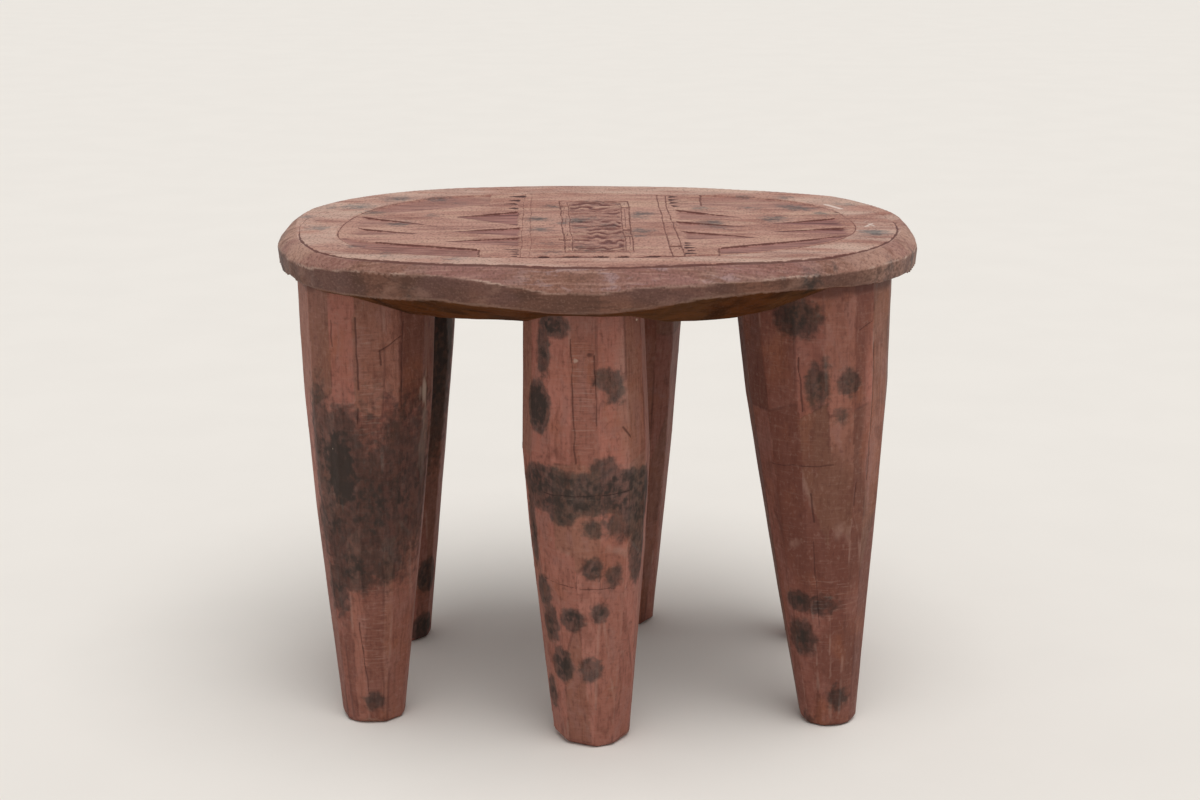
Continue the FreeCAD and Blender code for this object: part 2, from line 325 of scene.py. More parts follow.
class ShaderBench:
    """Lays out the nodes of one finish."""

    def __init__(self, name: str) -> None:
        """Start an empty material with a wood shader.

        Args:
            name: Name of the material.
        """
        self.material = bpy.data.materials.new(name)
        self.material.use_nodes = True
        self.tree = self.material.node_tree
        self.tree.nodes.clear()
        output = self.tree.nodes.new("ShaderNodeOutputMaterial")
        self.shader = self.tree.nodes.new("ShaderNodeBsdfPrincipled")
        self.tree.links.new(self.shader.outputs["BSDF"], output.inputs["Surface"])
        self.place = self.tree.nodes.new("ShaderNodeTexCoord").outputs["Object"]

    def feed(self, socket: Socket, value: Socket | float | Colour) -> None:
        """Link a socket, or set it to a number or colour."""
        if isinstance(value, bpy.types.NodeSocket):
            self.tree.links.new(value, socket)
        elif isinstance(value, tuple) and socket.type == "RGBA":
            socket.default_value = (*value, 1.0)
        else:
            socket.default_value = value

    def mark(self, mark: Mark) -> Socket:
        """Read one of the piece's stored values."""
        node = self.tree.nodes.new("ShaderNodeAttribute")
        node.attribute_name = mark.value
        return node.outputs["Fac"]

    def stretched(self, x: float, y: float, z: float, shift: float = 0.0) -> Socket:
        """Give the place with each axis multiplied, so that a pattern is drawn out.

        Args:
            x: Factor along the seat's length.
            y: Factor along its depth.
            z: Factor along its height.
            shift: Moves the pattern, so that two of one size differ.

        Returns:
            The place.
        """
        node = self.tree.nodes.new("ShaderNodeMapping")
        node.inputs["Scale"].default_value = (x, y, z)
        node.inputs["Location"].default_value = (shift, shift, shift)
        self.feed(node.inputs["Vector"], self.place)
        return node.outputs["Vector"]

    def noise(self, vector: Socket, size: float, detail: float = 3.0, bend: float = 0.0) -> Socket:
        """Add a noise of blotches of a size in millimetres.

        Args:
            vector: Where the noise is read.
            size: Width of a blotch.
            detail: How many finer layers it has.
            bend: How much it is distorted.

        Returns:
            The noise's value, about 0.5.
        """
        node = self.tree.nodes.new("ShaderNodeTexNoise")
        self.feed(node.inputs["Vector"], vector)
        node.inputs["Scale"].default_value = 1.0 / (size * MM)
        node.inputs["Detail"].default_value = detail
        node.inputs["Distortion"].default_value = bend
        return node.outputs["Fac"]

    def spread(
        self, value: Socket, low: float, high: float, out_low: float = 0.0, out_high: float = 1.0
    ) -> Socket:
        """Map a value smoothly from one range to another and clamp it.

        Args:
            value: The value to map.
            low: Start of its range.
            high: End of its range.
            out_low: Result at the start.
            out_high: Result at the end.

        Returns:
            The mapped value.
        """
        node = self.tree.nodes.new("ShaderNodeMapRange")
        node.interpolation_type = "SMOOTHSTEP"
        self.feed(node.inputs["Value"], value)
        names = ("From Min", "From Max", "To Min", "To Max")
        for name, number in zip(names, (low, high, out_low, out_high)):
            node.inputs[name].default_value = number
        return node.outputs["Result"]

    def math(self, kind: str, first: Socket | float, second: Socket | float = 0.0) -> Socket:
        """Combine two values.

        Args:
            kind: Blender's name for the operation.
            first: The first value.
            second: The second value.

        Returns:
            The result.
        """
        node = self.tree.nodes.new("ShaderNodeMath")
        node.operation = kind
        self.feed(node.inputs[0], first)
        self.feed(node.inputs[1], second)
        return node.outputs["Value"]

    def times(self, first: Socket, *others: Socket | float) -> Socket:
        """Multiply several values."""
        for other in others:
            first = self.math("MULTIPLY", first, other)
        return first

    def line(self, mark: Mark, width: float, uneven: Socket) -> Socket:
        """Draw a thin uneven line where a stored distance is zero.

        Args:
            mark: The stored distance in millimetres.
            width: Half the line's width.
            uneven: A noise that thins and thickens it.

        Returns:
            How much of the line shows.
        """
        reach = self.spread(uneven, 0.32, 0.68, 0.45 * width, 1.5 * width)
        share = self.math("DIVIDE", self.math("ABSOLUTE", self.mark(mark)), reach)
        return self.spread(share, 0.4, 1.0, 1.0, 0.0)

    def blend(self, share: Socket | float, first: Socket | Colour, second: Socket | Colour) -> Socket:
        """Lay one colour over another.

        Args:
            share: How much of the second colour shows.
            first: The colour below.
            second: The colour above.

        Returns:
            The mixed colour.
        """
        node = self.tree.nodes.new("ShaderNodeMix")
        node.data_type = "RGBA"
        self.feed(node.inputs["Factor"], share)
        colours = [s for s in node.inputs if s.type == "RGBA"]
        self.feed(colours[0], first)
        self.feed(colours[1], second)
        return [s for s in node.outputs if s.type == "RGBA"][0]

    def stain(
        self, first: Socket | Colour, second: Socket | Colour, value: Socket, *limits: float
    ) -> Socket:
        """Blend a second colour into the first as a value passes through a range.

        Args:
            first: The colour so far.
            second: The colour to blend in.
            value: The value that decides.
            limits: The value's range, then the share of the second colour at either end of it.

        Returns:
            The stained colour.
        """
        return self.blend(self.spread(value, *limits), first, second)

    def smoke(self, share: Socket, colour: Socket, dark: Colour) -> Socket:
        """Darken a colour as smoke does, so that the grain still shows.

        Args:
            share: How much smoke there is.
            colour: The colour below.
            dark: What full smoke multiplies it by.

        Returns:
            The smoked colour.
        """
        mixed = self.blend(share, colour, dark)
        mixed.node.blend_type = "MULTIPLY"
        return mixed

    def finish(
        self, colour: Socket, rough: Socket, height: Socket, depth: float, shine: Socket | float
    ) -> bpy.types.Material:
        """Join colour, roughness and relief to the wood shader.

        Args:
            colour: The surface colour.
            rough: The roughness.
            height: The fine relief.
            depth: Depth of the relief in millimetres.
            shine: Strength of the surface reflection.

        Returns:
            The finished material.
        """
        relief = self.tree.nodes.new("ShaderNodeBump")
        relief.inputs["Distance"].default_value = depth * MM
        relief.inputs["Strength"].default_value = 1.0
        self.feed(relief.inputs["Height"], height)
        self.feed(self.shader.inputs["Base Color"], colour)
        self.feed(self.shader.inputs["Roughness"], rough)
        self.feed(self.shader.inputs["Normal"], relief.outputs["Normal"])
        self.feed(self.shader.inputs["Specular IOR Level"], shine)
        return self.material


def scorched(
    bench: ShaderBench, colour: Socket, smoky: Colour, soot: Colour, soft: float = 0.15
) -> tuple[Socket, Socket]:
    """Lay the smoke and soot of the scorch marks, some of which are painted shade, over a wood's colour.

    Args:
        bench: Where the nodes are laid out.
        colour: The wood's colour.
        smoky: What full smoke multiplies it by.
        soot: Colour of the charred middle.
        soft: How little burning already shows.

    Returns:
        The scorched colour, and how much smoke there is, painted shade included.
    """
    ragged = bench.noise(bench.place, 3.6, 4.0, 0.3)
    reach = bench.math("ADD", bench.mark(Mark.BURN), bench.spread(ragged, 0.25, 0.75, -0.15, 0.15))
    ashes = bench.noise(bench.stretched(1.0, 1.0, 0.7, 0.7), 3.0, 5.0, 0.3)
    burnt = bench.times(bench.spread(reach, soft, 0.55), bench.spread(ashes, 0.34, 0.60, 0.82, 1.0))
    colour = bench.smoke(burnt, colour, smoky)
    core = bench.math("ADD", reach, bench.spread(ashes, 0.3, 0.7, -0.12, 0.12))
    char = bench.spread(core, 0.68, 1.06, 0.0, 0.85)
    return bench.blend(char, colour, soot), burnt


@dataclass(frozen=True)
class LegWood:
    """Finish of the legs: red-brown wood whose facets differ in tone, with cracks, scorch marks and
    painted shade under the seat and on the back left leg.
    """

    name: str = "leg_wood_hewn"
    light: Colour = tint(166, 104, 89)
    dark: Colour = tint(108, 60, 47)
    olive: Colour = tint(128, 92, 71)
    orange: Colour = tint(140, 82, 57)
    mauve: Colour = tint(144, 98, 87)
    shade: Colour = tint(84, 44, 36)
    worn: Colour = tint(166, 130, 116)
    # Colour of the cracks and dark dents, and of the painted shade just under the seat's edge.
    crack: Colour = tint(64, 27, 20)
    soot: Colour = tint(48, 39, 34)
    smoky: Colour = (0.34, 0.47, 0.52)
    pale: Colour = tint(214, 190, 172)

    def make(self) -> bpy.types.Material:
        """Build the material.

        Returns:
            The material.
        """
        bench = ShaderBench(self.name)
        upright = bench.stretched(1.0, 1.0, 0.12)
        fibre = bench.noise(upright, 1.6, 4.0, 0.2)
        grit = bench.noise(bench.stretched(1.0, 1.0, 0.7), 1.9, 5.0, 0.3)
        cloud = bench.noise(bench.stretched(1.0, 1.0, 0.7), 22.0, 4.0, 0.4)
        patch = bench.noise(bench.stretched(1.0, 1.0, 0.5, 0.4), 9.0, 4.0, 0.6)
        tone = bench.mark(Mark.TONE)
        colour = bench.stain(self.dark, self.light, tone, -1.2, 1.2)
        colour = bench.stain(colour, self.worn, tone, 1.0, 2.2, 0.0, 0.5)
        colour = bench.stain(colour, self.olive, bench.mark(Mark.HUE), 0.0, 1.0, 0.0, 0.5)
        colour = bench.stain(colour, self.orange, cloud, 0.48, 0.72, 0.0, 0.6)
        bloom = bench.spread(patch, 0.48, 0.68, 0.0, 0.6)
        bloom = bench.times(bloom, bench.spread(tone, -1.0, 0.4, 0.2, 1.0))
        colour = bench.blend(bloom, colour, self.mauve)
        colour = bench.stain(colour, self.dark, patch, 0.30, 0.47, 0.5, 0.0)
        colour = bench.stain(colour, self.shade, fibre, 0.30, 0.50, 0.30, 0.0)
        colour = bench.stain(colour, self.shade, grit, 0.52, 0.72, 0.0, 0.38)
        colour = bench.stain(colour, self.worn, grit, 0.28, 0.46, 0.2, 0.0)
        lines = bench.noise(bench.stretched(0.10, 0.10, 1.0), 1.0, 3.0)
        chatter = bench.spread(bench.mark(Mark.CHATTER), 0.0, 1.0, 0.32, 1.0)
        scored = bench.times(chatter, bench.spread(lines, 0.52, 0.70, 0.0, 0.30))
        colour = bench.blend(scored, colour, self.shade)
        raised = bench.times(chatter, bench.spread(lines, 0.30, 0.46, 0.36, 0.0))
        colour = bench.blend(raised, colour, self.worn)
        # Darken some facet ridges and make others paler, so that the facets show.
        near = bench.spread(bench.mark(Mark.EDGE), 0.2, 1.2, 1.0, 0.0)
        run = bench.noise(bench.stretched(1.0, 1.0, 0.5), 13.0, 3.0)
        colour = bench.blend(bench.times(near, bench.spread(run, 0.50, 0.62), 0.5), colour, self.shade)
        paler_ridge = bench.times(near, bench.spread(run, 0.34, 0.46, 0.36, 0.0))
        colour = bench.blend(paler_ridge, colour, self.worn)
        # Cracks, and painted shade darkening the leg's top just under the seat's edge.
        crack_and_shade = bench.spread(bench.mark(Mark.CRACK), 0.35, 0.95, 0.0, 0.7)
        colour = bench.blend(crack_and_shade, colour, self.crack)
        # Scorch marks, and the painted shade drawn as one on the back left leg.
        colour, burnt = scorched(bench, colour, self.smoky, self.soot)
        pale = bench.mark(Mark.PALE)
        colour = bench.stain(colour, self.pale, pale, 0.25, 0.75, 0.0, 0.9)
        colour = bench.stain(colour, self.crack, pale, -0.75, -0.25, 0.9, 0.0)
        rough = bench.math("ADD", bench.spread(fibre, 0.3, 0.7, 0.66, 0.54), bench.times(burnt, 0.16))
        pores = bench.noise(bench.stretched(1.0, 1.0, 0.4), 0.7, 4.0)
        height = bench.math("ADD", bench.times(pores, 0.5), bench.times(fibre, 0.25))
        height = bench.math("ADD", height, bench.times(chatter, lines))
        height = bench.math("ADD", height, bench.times(grit, 0.35))
        return bench.finish(colour, rough, height, 0.40, 0.30)


class SeatBench(ShaderBench):
    """A shader bench with the noises that all parts of the seat's finish share."""

    def __init__(self, name: str) -> None:
        """Lay out the noises, from fine fibres to broad clouds, drawn out along the seat.

        Args:
            name: Name of the material.
        """
        super().__init__(name)
        self.fibre = self.noise(self.stretched(0.07, 1.0, 1.0), 1.7, 5.0, 0.2)
        self.streak = self.noise(self.stretched(0.16, 1.0, 1.0, 0.6), 6.0, 6.0, 0.4)
        self.patch = self.noise(self.stretched(0.45, 1.0, 1.0), 20.0, 4.0, 0.5)
        self.cloud = self.noise(self.stretched(0.6, 1.0, 1.0, 0.3), 34.0, 3.0, 0.4)
        self.grit = self.noise(self.stretched(0.3, 1.0, 1.0), 2.4, 4.0, 0.3)
        self.scuffs = self.noise(self.stretched(0.5, 1.0, 1.0, 0.2), 13.0, 5.0, 0.7)
        self.grime = self.noise(self.stretched(0.4, 1.0, 0.8), 9.0, 5.0, 0.5)


@dataclass(frozen=True)
class SeatWood:
    """Finish of the seat: worn pinkish top, cuts whose dark red floors are partly painted shade, scuffed
    bevel, dark rim, underside darkened with painted shade, and painted shadow in the groove and on the
    cuts' steep walls.
    """

    name: str = "seat_wood_carved"
    raised: Colour = tint(182, 136, 120)
    warm: Colour = tint(164, 114, 98)
    pale: Colour = tint(199, 160, 138)
    edging: Colour = tint(205, 176, 160)
    shade: Colour = tint(128, 80, 70)
    # The cut floors' dark red, partly the wood's own and partly painted shade.
    cut: Colour = tint(157, 108, 99)
    cut_dark: Colour = tint(100, 56, 52)
    ink: Colour = tint(100, 54, 44)
    # Painted shadow of the groove's back wall and of the cuts' steep walls.
    groove: Colour = tint(84, 38, 32)
    black: Colour = tint(66, 32, 27)
    bevel: Colour = tint(137, 101, 91)
    bevel_end: Colour = tint(178, 138, 121)
    lilac: Colour = tint(158, 130, 128)
    rust: Colour = tint(130, 86, 69)
    rose: Colour = tint(140, 92, 86)
    side: Colour = tint(119, 79, 63)
    side_dark: Colour = tint(82, 54, 43)
    plum: Colour = tint(106, 74, 68)
    side_pale: Colour = tint(158, 121, 105)
    # The underside colours are made dark as painted shade under the seat; their orange-brown is the wood's
    # own.
    under: Colour = tint(80, 42, 16)
    ochre: Colour = tint(94, 60, 34)
    under_dark: Colour = tint(47, 24, 9)
    soot: Colour = tint(78, 66, 62)
    smoky: Colour = (0.36, 0.49, 0.57)
    bare: Colour = tint(222, 204, 192)

    def paint_top(self, bench: SeatBench) -> Socket:
        """Colour the worn top, paler along its margin.

        Args:
            bench: Where the nodes are laid out.

        Returns:
            The colour.
        """
        colour = bench.stain(self.raised, self.warm, bench.cloud, 0.44, 0.66)
        colour = bench.stain(colour, self.pale, bench.patch, 0.50, 0.70, 0.0, 0.75)
        colour = bench.stain(colour, self.shade, bench.streak, 0.34, 0.50, 0.55, 0.0)
        colour = bench.stain(colour, self.pale, bench.streak, 0.54, 0.70, 0.0, 0.55)
        colour = bench.stain(colour, self.shade, bench.grit, 0.56, 0.72, 0.0, 0.5)
        margin = bench.spread(bench.mark(Mark.FIELD), -2.0, 0.0, 1.0, 0.0)
        margin = bench.times(margin, bench.spread(bench.patch, 0.36, 0.60), 0.5)
        return bench.blend(margin, colour, self.edging)

    def paint_bevel(self, bench: SeatBench) -> Socket:
        """Colour the scuffed bevel, paler at the seat's ends and dusty in front.

        Args:
            bench: Where the nodes are laid out.

        Returns:
            The colour.
        """
        tone = bench.spread(bench.mark(Mark.TONE), -1.0, 1.0)
        bevel = bench.blend(tone, self.bevel, self.rust)
        bevel = bench.stain(bevel, self.bevel_end, bench.mark(Mark.EDGE), 106.0, 154.0)
        scrapes = bench.noise(bench.stretched(0.4, 0.8, 1.0, 0.9), 4.5, 6.0, 0.9)
        dust = bench.times(bench.spread(scrapes, 0.52, 0.66, 0.0, 0.9), bench.mark(Mark.DUST))
        bevel = bench.blend(dust, bevel, self.lilac)
        bevel = bench.stain(bevel, self.side, bench.grime, 0.52, 0.68, 0.0, 0.8)
        bevel = bench.stain(bevel, self.rose, bench.cloud, 0.50, 0.62, 0.0, 0.55)
        bevel = bench.stain(bevel, self.side, bench.fibre, 0.30, 0.50, 0.5, 0.0)
        return bench.stain(bevel, self.bevel_end, bench.fibre, 0.52, 0.68, 0.0, 0.4)

    def paint_side(self, bench: SeatBench) -> Socket:
        """Colour the dark side of the rim, paler at its right end.

        Args:
            bench: Where the nodes are laid out.

        Returns:
            The colour.
        """
        tone = bench.spread(bench.mark(Mark.TONE), -1.0, 1.0, 0.0, 0.6)
        side = bench.blend(tone, self.side, self.side_dark)
        side = bench.stain(side, self.side_pale, bench.mark(Mark.HUE), 0.0, 1.0, 0.0, 0.8)
        side = bench.stain(side, self.side_dark, bench.grime, 0.46, 0.66, 0.0, 0.8)
        side = bench.stain(side, self.side_dark, bench.fibre, 0.32, 0.52, 0.6, 0.0)
        side = bench.stain(side, self.plum, bench.cloud, 0.46, 0.60, 0.0, 0.55)
        return bench.stain(side, self.side_pale, bench.scuffs, 0.54, 0.70, 0.0, 0.35)

    def paint_shaded_underside(self, bench: SeatBench) -> Socket:
        """Colour the underside, darkened with painted shade.

        Args:
            bench: Where the nodes are laid out.

        Returns:
            The colour.
        """
        under = bench.stain(self.under, self.under_dark, bench.grime, 0.42, 0.62, 0.0, 0.9)
        under = bench.stain(under, self.ochre, bench.cloud, 0.42, 0.58, 0.0, 0.5)
        return bench.stain(under, self.under_dark, bench.fibre, 0.32, 0.50, 0.45, 0.0)

    def wear_arris(self, bench: SeatBench, colour: Socket) -> Socket:
        """Rub the edge between bevel and side bare in places.

        Args:
            bench: Where the nodes are laid out.
            colour: The colour so far.

        Returns:
            The worn colour.
        """
        turned = bench.mark(Mark.SIDE)
        arris = bench.times(bench.spread(turned, 0.0, 0.5), bench.spread(turned, 0.5, 1.0, 1.0, 0.0))
        worn = bench.spread(bench.mark(Mark.HUE), 0.0, 1.0, 0.7, 1.3)
        above = bench.spread(bench.mark(Mark.UNDER), 0.0, 0.2, 1.0, 0.0)
        arris = bench.times(arris, bench.spread(bench.scuffs, 0.44, 0.60, 0.0, 0.6), worn, above)
        return bench.blend(arris, colour, self.edging)

    def strew_specks(self, bench: SeatBench, colour: Socket) -> Socket:
        """Strew fine dark and pale specks over the wood, fewer pale ones on the rim.

        Args:
            bench: Where the nodes are laid out.
            colour: The colour so far.

        Returns:
            The speckled colour.
        """
        turned = bench.mark(Mark.SIDE)
        sand = bench.noise(bench.stretched(0.8, 0.4, 1.0, 0.5), 1.0, 3.0)
        rim = bench.math("ADD", turned, bench.mark(Mark.UNDER))
        colour = bench.stain(colour, self.side_dark, sand, 0.50, 0.70, 0.0, 0.5)
        dusty = bench.spread(sand, 0.30, 0.46, 0.4, 0.0)
        dusty = bench.times(dusty, bench.spread(rim, 0.0, 1.0, 1.0, 0.0))
        dusty = bench.times(dusty, bench.spread(bench.mark(Mark.BEVEL), 0.0, 1.0, 1.0, 0.4))
        colour = bench.blend(dusty, colour, self.pale)
        chalky = bench.times(bench.spread(sand, 0.30, 0.46, 0.22, 0.0), turned)
        return bench.blend(chalky, colour, self.side_pale)

    def ink_and_shadow_lines(self, bench: SeatBench, colour: Socket) -> Socket:
        """Darken the scored lines, and paint the shadow in the groove and on the steep walls of the cuts.

        Args:
            bench: Where the nodes are laid out.
            colour: The colour so far.

        Returns:
            The colour with its lines.
        """
        uneven = bench.noise(bench.place, 5.0, 3.0)
        lines = (
            # The groove and the steep walls get painted shadow; the field's line and the rules are dark
            # scored lines.
            (Mark.GROOVE, 1.3, self.groove),
            (Mark.FIELD, 0.6, self.ink),
            (Mark.RULE, 0.55, self.ink),
            (Mark.WALL, 0.78, self.groove),
        )
        for mark, width, ink in lines:
            colour = bench.blend(bench.times(bench.line(mark, width, uneven), 0.85), colour, ink)
        return colour

    def make(self) -> bpy.types.Material:
        """Build the material.

        Returns:
            The material.
        """
        bench = SeatBench(self.name)
        low = bench.mark(Mark.UNDER)
        colour = self.paint_top(bench)
        colour = bench.blend(bench.mark(Mark.BEVEL), colour, self.paint_bevel(bench))
        colour = bench.blend(bench.mark(Mark.SIDE), colour, self.paint_side(bench))
        colour = self.wear_arris(bench, colour)
        # The underside, with its painted shade.
        colour = bench.blend(low, colour, self.paint_shaded_underside(bench))
        colour = self.strew_specks(bench, colour)
        # The cut floors: dark red wood, partly painted shade.
        rips = bench.noise(bench.stretched(0.14, 1.0, 1.0), 4.0, 5.0, 0.3)
        floor = bench.stain(self.cut, self.cut_dark, rips, 0.40, 0.62)
        floor = bench.stain(floor, self.warm, bench.patch, 0.54, 0.72, 0.0, 0.3)
        share = bench.mark(Mark.FLOOR)
        colour = bench.blend(share, colour, floor)
        # The panel's ripples: dark stain in the hollows, partly painted shade.
        colour = bench.blend(bench.times(bench.mark(Mark.DIP), 0.95), colour, self.cut_dark)
        # Scorched spots, and painted shade drawn as spots on the seat's left end.
        colour, _ = scorched(bench, colour, self.smoky, self.soot, 0.12)
        colour = self.ink_and_shadow_lines(bench, colour)
        pale = bench.mark(Mark.PALE)
        colour = bench.stain(colour, self.bare, pale, 0.25, 0.75, 0.0, 0.85)
        colour = bench.stain(colour, self.black, pale, -0.75, -0.25, 0.95, 0.0)
        rough = bench.spread(bench.fibre, 0.3, 0.7, 0.68, 0.56)
        height = bench.math("ADD", bench.times(bench.grit, 0.5), bench.times(bench.fibre, 0.4))
        height = bench.math("ADD", height, bench.times(share, rips, 0.9))
        height = bench.math("ADD", height, bench.times(bench.streak, 0.5))
        return bench.finish(colour, rough, height, 0.45, bench.spread(low, 0.0, 1.0, 0.28, 0.05))


@dataclass(frozen=True)
class Plane:
    """One adze cut: everything beyond it is taken off."""

    place: np.ndarray
    facing: np.ndarray


@dataclass(frozen=True)
class Patch:
    """An oval patch of a leg, by its turn round the leg (0 faces the front), height and half sizes."""

    turn: float
    height: float
    across: float
    tall: float


@dataclass(frozen=True)
class Scorch(Patch):
    """A burnt patch, with its soot and the softness of its edge; one on the back left leg is painted
    shade.
    """

    soot: float
    edge: float = 2.7


@dataclass(frozen=True)
class Fleck(Patch):
    """A small bare chip (pale 1) or dark dent (pale -1)."""

    pale: float


@dataclass(frozen=True)
class Glaze(Patch):
    """A patch that is lighter or darker than the strokes in it."""

    shift: float


@dataclass(frozen=True)
class Split:
    """A crack or knife line from one turn and height to another."""

    turn: float
    height: float
    end_turn: float
    end_height: float
    width: float
    depth: float


@dataclass(frozen=True)
class Chatter:
    """A strip where the blade skipped and left level lines."""

    turn: float
    across: float
    low: float
    high: float


@dataclass
class HewnLeg:
    """One tapered leg, cut from a round blank by flat adze strokes."""

    node: str
    head: Point
    foot: Point
    radii: tuple[float, ...]
    strips: tuple[float, ...]
    low_strips: tuple[float, ...]
    seed: int
    scorches: tuple[Scorch, ...] = ()
    splits: tuple[Split, ...] = ()
    chatters: tuple[Chatter, ...] = ()
    flecks: tuple[Fleck, ...] = ()
    glazes: tuple[Glaze, ...] = ()
    levels: tuple[float, ...] = (0.0, 50.0, 110.0, 180.0, 247.0)
    blank_radius: float = 62.0
    blank_sides: int = 32
    foot_bevel: float = 2.4
    foot_tilt: Point = (38.0, 56.0)
    strip_lean: float = 2.0
    stroke_lean: float = 1.2
    strip_bite: Point = (-0.3, 0.5)
    stroke_bite: float = 0.15
    # Heights over which painted shade darkens the leg's top under the seat's edge.
    seat_shade_height: Point = (236.0, 243.0)
    ripple_pitch: float = 2.5
    faintest: float = 0.04
    cell: float = 1.1
    bias: float = 0.0

    def middle(self, height: np.ndarray | float) -> np.ndarray:
        """Give the middle of the leg at a height.

        Args:
            height: One height or many.

        Returns:
            The plan point or points.
        """
        share = np.clip(np.asarray(height) / self.levels[-1], 0.0, 1.0)[..., None]
        return np.array(self.foot) + (np.array(self.head) - np.array(self.foot)) * share

    def radius(self, height: np.ndarray | float) -> np.ndarray:
        """Give the leg's radius at a height."""
        return np.interp(height, self.levels, self.radii)

    def strokes(self) -> list[Plane]:
        """Work out the adze strokes from the strips and the taper.

        Returns:
            The cuts, from the foot upwards.
        """
        draw = np.random.default_rng(self.seed)
        turns = (*self.low_strips, *self.strips)
        lean = {turn: draw.uniform(-self.strip_lean, self.strip_lean) for turn in turns}
        deep = {turn: draw.uniform(*self.strip_bite) for turn in turns}
        cuts: list[Plane] = []
        for tier in range(len(self.levels) - 1):
            low, high = self.levels[tier], self.levels[tier + 1]
            for turn in self.low_strips if tier == 0 else self.strips:
                swing = math.radians(turn + lean[turn] + draw.uniform(-self.stroke_lean, self.stroke_lean))
                out = np.array((math.sin(swing), -math.cos(swing)))
                bite = deep[turn] + draw.uniform(-self.stroke_bite, self.stroke_bite, 2)
                start = np.append(self.middle(low) + out * (self.radius(low) - bite[0]), low)
                end = np.append(self.middle(high) + out * (self.radius(high) - bite[1]), high)
                facing = np.cross((-out[1], out[0], 0.0), start - end)
                facing /= np.linalg.norm(facing)
                if facing[:2] @ out < 0:
                    facing = -facing
                cuts.append(Plane(start, facing))
        for turn in self.low_strips:
            swing = math.radians(turn + draw.uniform(-8.0, 8.0))
            out = np.array((math.sin(swing), -math.cos(swing)))
            tilt = math.radians(draw.uniform(*self.foot_tilt))
            reach = self.radii[0] - self.foot_bevel * draw.uniform(0.7, 1.3)
            facing = np.array((*(out * math.cos(tilt)), -math.sin(tilt)))
            cuts.append(Plane(np.append(self.middle(0.0) + out * reach, 0.0), facing))
        return cuts

    def hew(self, cuts: list[Plane]) -> bpy.types.Object:
        """Cut the leg from a round blank.

        Args:
            cuts: The adze strokes.

        Returns:
            The leg.
        """
        Workbench.clear_selection()
        top = self.levels[-1]
        centre = self.middle(top / 2)
        bpy.ops.mesh.primitive_cylinder_add(
            vertices=self.blank_sides,
            radius=self.blank_radius * MM,
            depth=top * MM,
            location=(centre[0] * MM, centre[1] * MM, top / 2 * MM),
        )
        leg = bpy.context.object
        leg.name = leg.data.name = "hewn_" + self.node
        Workbench.settle()
        bpy.ops.object.mode_set(mode="EDIT")
        for cut in cuts:
            bpy.ops.mesh.select_all(action="SELECT")
            place, facing = tuple(cut.place * MM), tuple(cut.facing)
            bpy.ops.mesh.bisect(plane_co=place, plane_no=facing, use_fill=True, clear_outer=True)
        bpy.ops.object.mode_set(mode="OBJECT")
        Workbench.remesh(leg, self.cell)
        middles = Workbench.face_middles(leg)
        crack, _ = self.read_splits(middles)
        fleck = np.abs(self.read_flecks(middles))
        Workbench.divide(leg, (crack > self.faintest) | (fleck > self.faintest))
        return leg

    def turns(self, points: np.ndarray) -> np.ndarray:
        """Give each point's turn round the leg in degrees, 0 at the front."""
        offset = points[:, :2] - self.middle(points[:, 2])
        return np.degrees(np.arctan2(offset[:, 0], -offset[:, 1]))

    def spread_out(self, points: np.ndarray, turn: float) -> np.ndarray:
        """Unroll the leg's skin about a turn.

        Args:
            points: Points on the leg.
            turn: The turn that becomes the middle.

        Returns:
            Distance round the leg and height, one row per point.
        """
        gap = turn_gap(self.turns(points), turn)
        return np.column_stack((np.radians(gap) * self.radius(points[:, 2]), points[:, 2]))

    def patch_reach(self, points: np.ndarray, patch: Patch) -> np.ndarray:
        """Measure how far out from the middle of an oval patch each point lies.

        Args:
            points: Points on the leg.
            patch: The patch.

        Returns:
            0 at the patch's middle and 1 at its edge.
        """
        flat = self.spread_out(points, patch.turn) - (0.0, patch.height)
        return np.hypot(flat[:, 0] / patch.across, flat[:, 1] / patch.tall)

    def read_facets(self, points: np.ndarray, cuts: list[Plane]) -> tuple[np.ndarray, np.ndarray]:
        """Find which stroke left each point, and how close it is to the next stroke's edge.

        Args:
            points: Points on the leg.
            cuts: The adze strokes.

        Returns:
            The stroke's number and the distance to its edge.
        """
        depth = np.stack([(points - cut.place) @ cut.facing for cut in cuts])
        order = np.argsort(depth, axis=0)
        best, second = order[-1], order[-2]
        rows = np.arange(len(points))
        facing = np.stack([cut.facing for cut in cuts])
        spread = np.linalg.norm(facing[best] - facing[second], axis=1)
        gap = (depth[best, rows] - depth[second, rows]) / np.maximum(spread, 0.05)
        return best, gap

    def read_splits(self, points: np.ndarray) -> tuple[np.ndarray, np.ndarray]:
        """Find the cracks in the skin.

        Args:
            points: Points on the leg.

        Returns:
            How much of a crack each point holds, and how deep it is there.
        """
        crack, sink = np.zeros(len(points)), np.zeros(len(points))
        sway, lift = grain_noise(points, 7.0, self.seed + 5), grain_noise(points, 6.0, self.seed + 6)
        drift = np.column_stack((sway, lift))
        ragged = 1.0 + 0.45 * grain_noise(points, 4.0, self.seed + 9)
        turns = self.turns(points)
        for split in self.splits:
            flat = self.spread_out(points, split.turn) + 0.6 * drift
            reach = math.radians(split.end_turn - split.turn) * float(self.radius(split.end_height))
            far = segment_gap(flat, (0.0, split.height), (reach, split.end_height))
            near = np.abs(turn_gap(turns, split.turn)) < 100.0
            line = np.exp(-((far / (split.width * ragged)) ** 2)) * near
            crack = np.maximum(crack, line)
            sink = np.maximum(sink, split.depth * line)
        return crack, sink

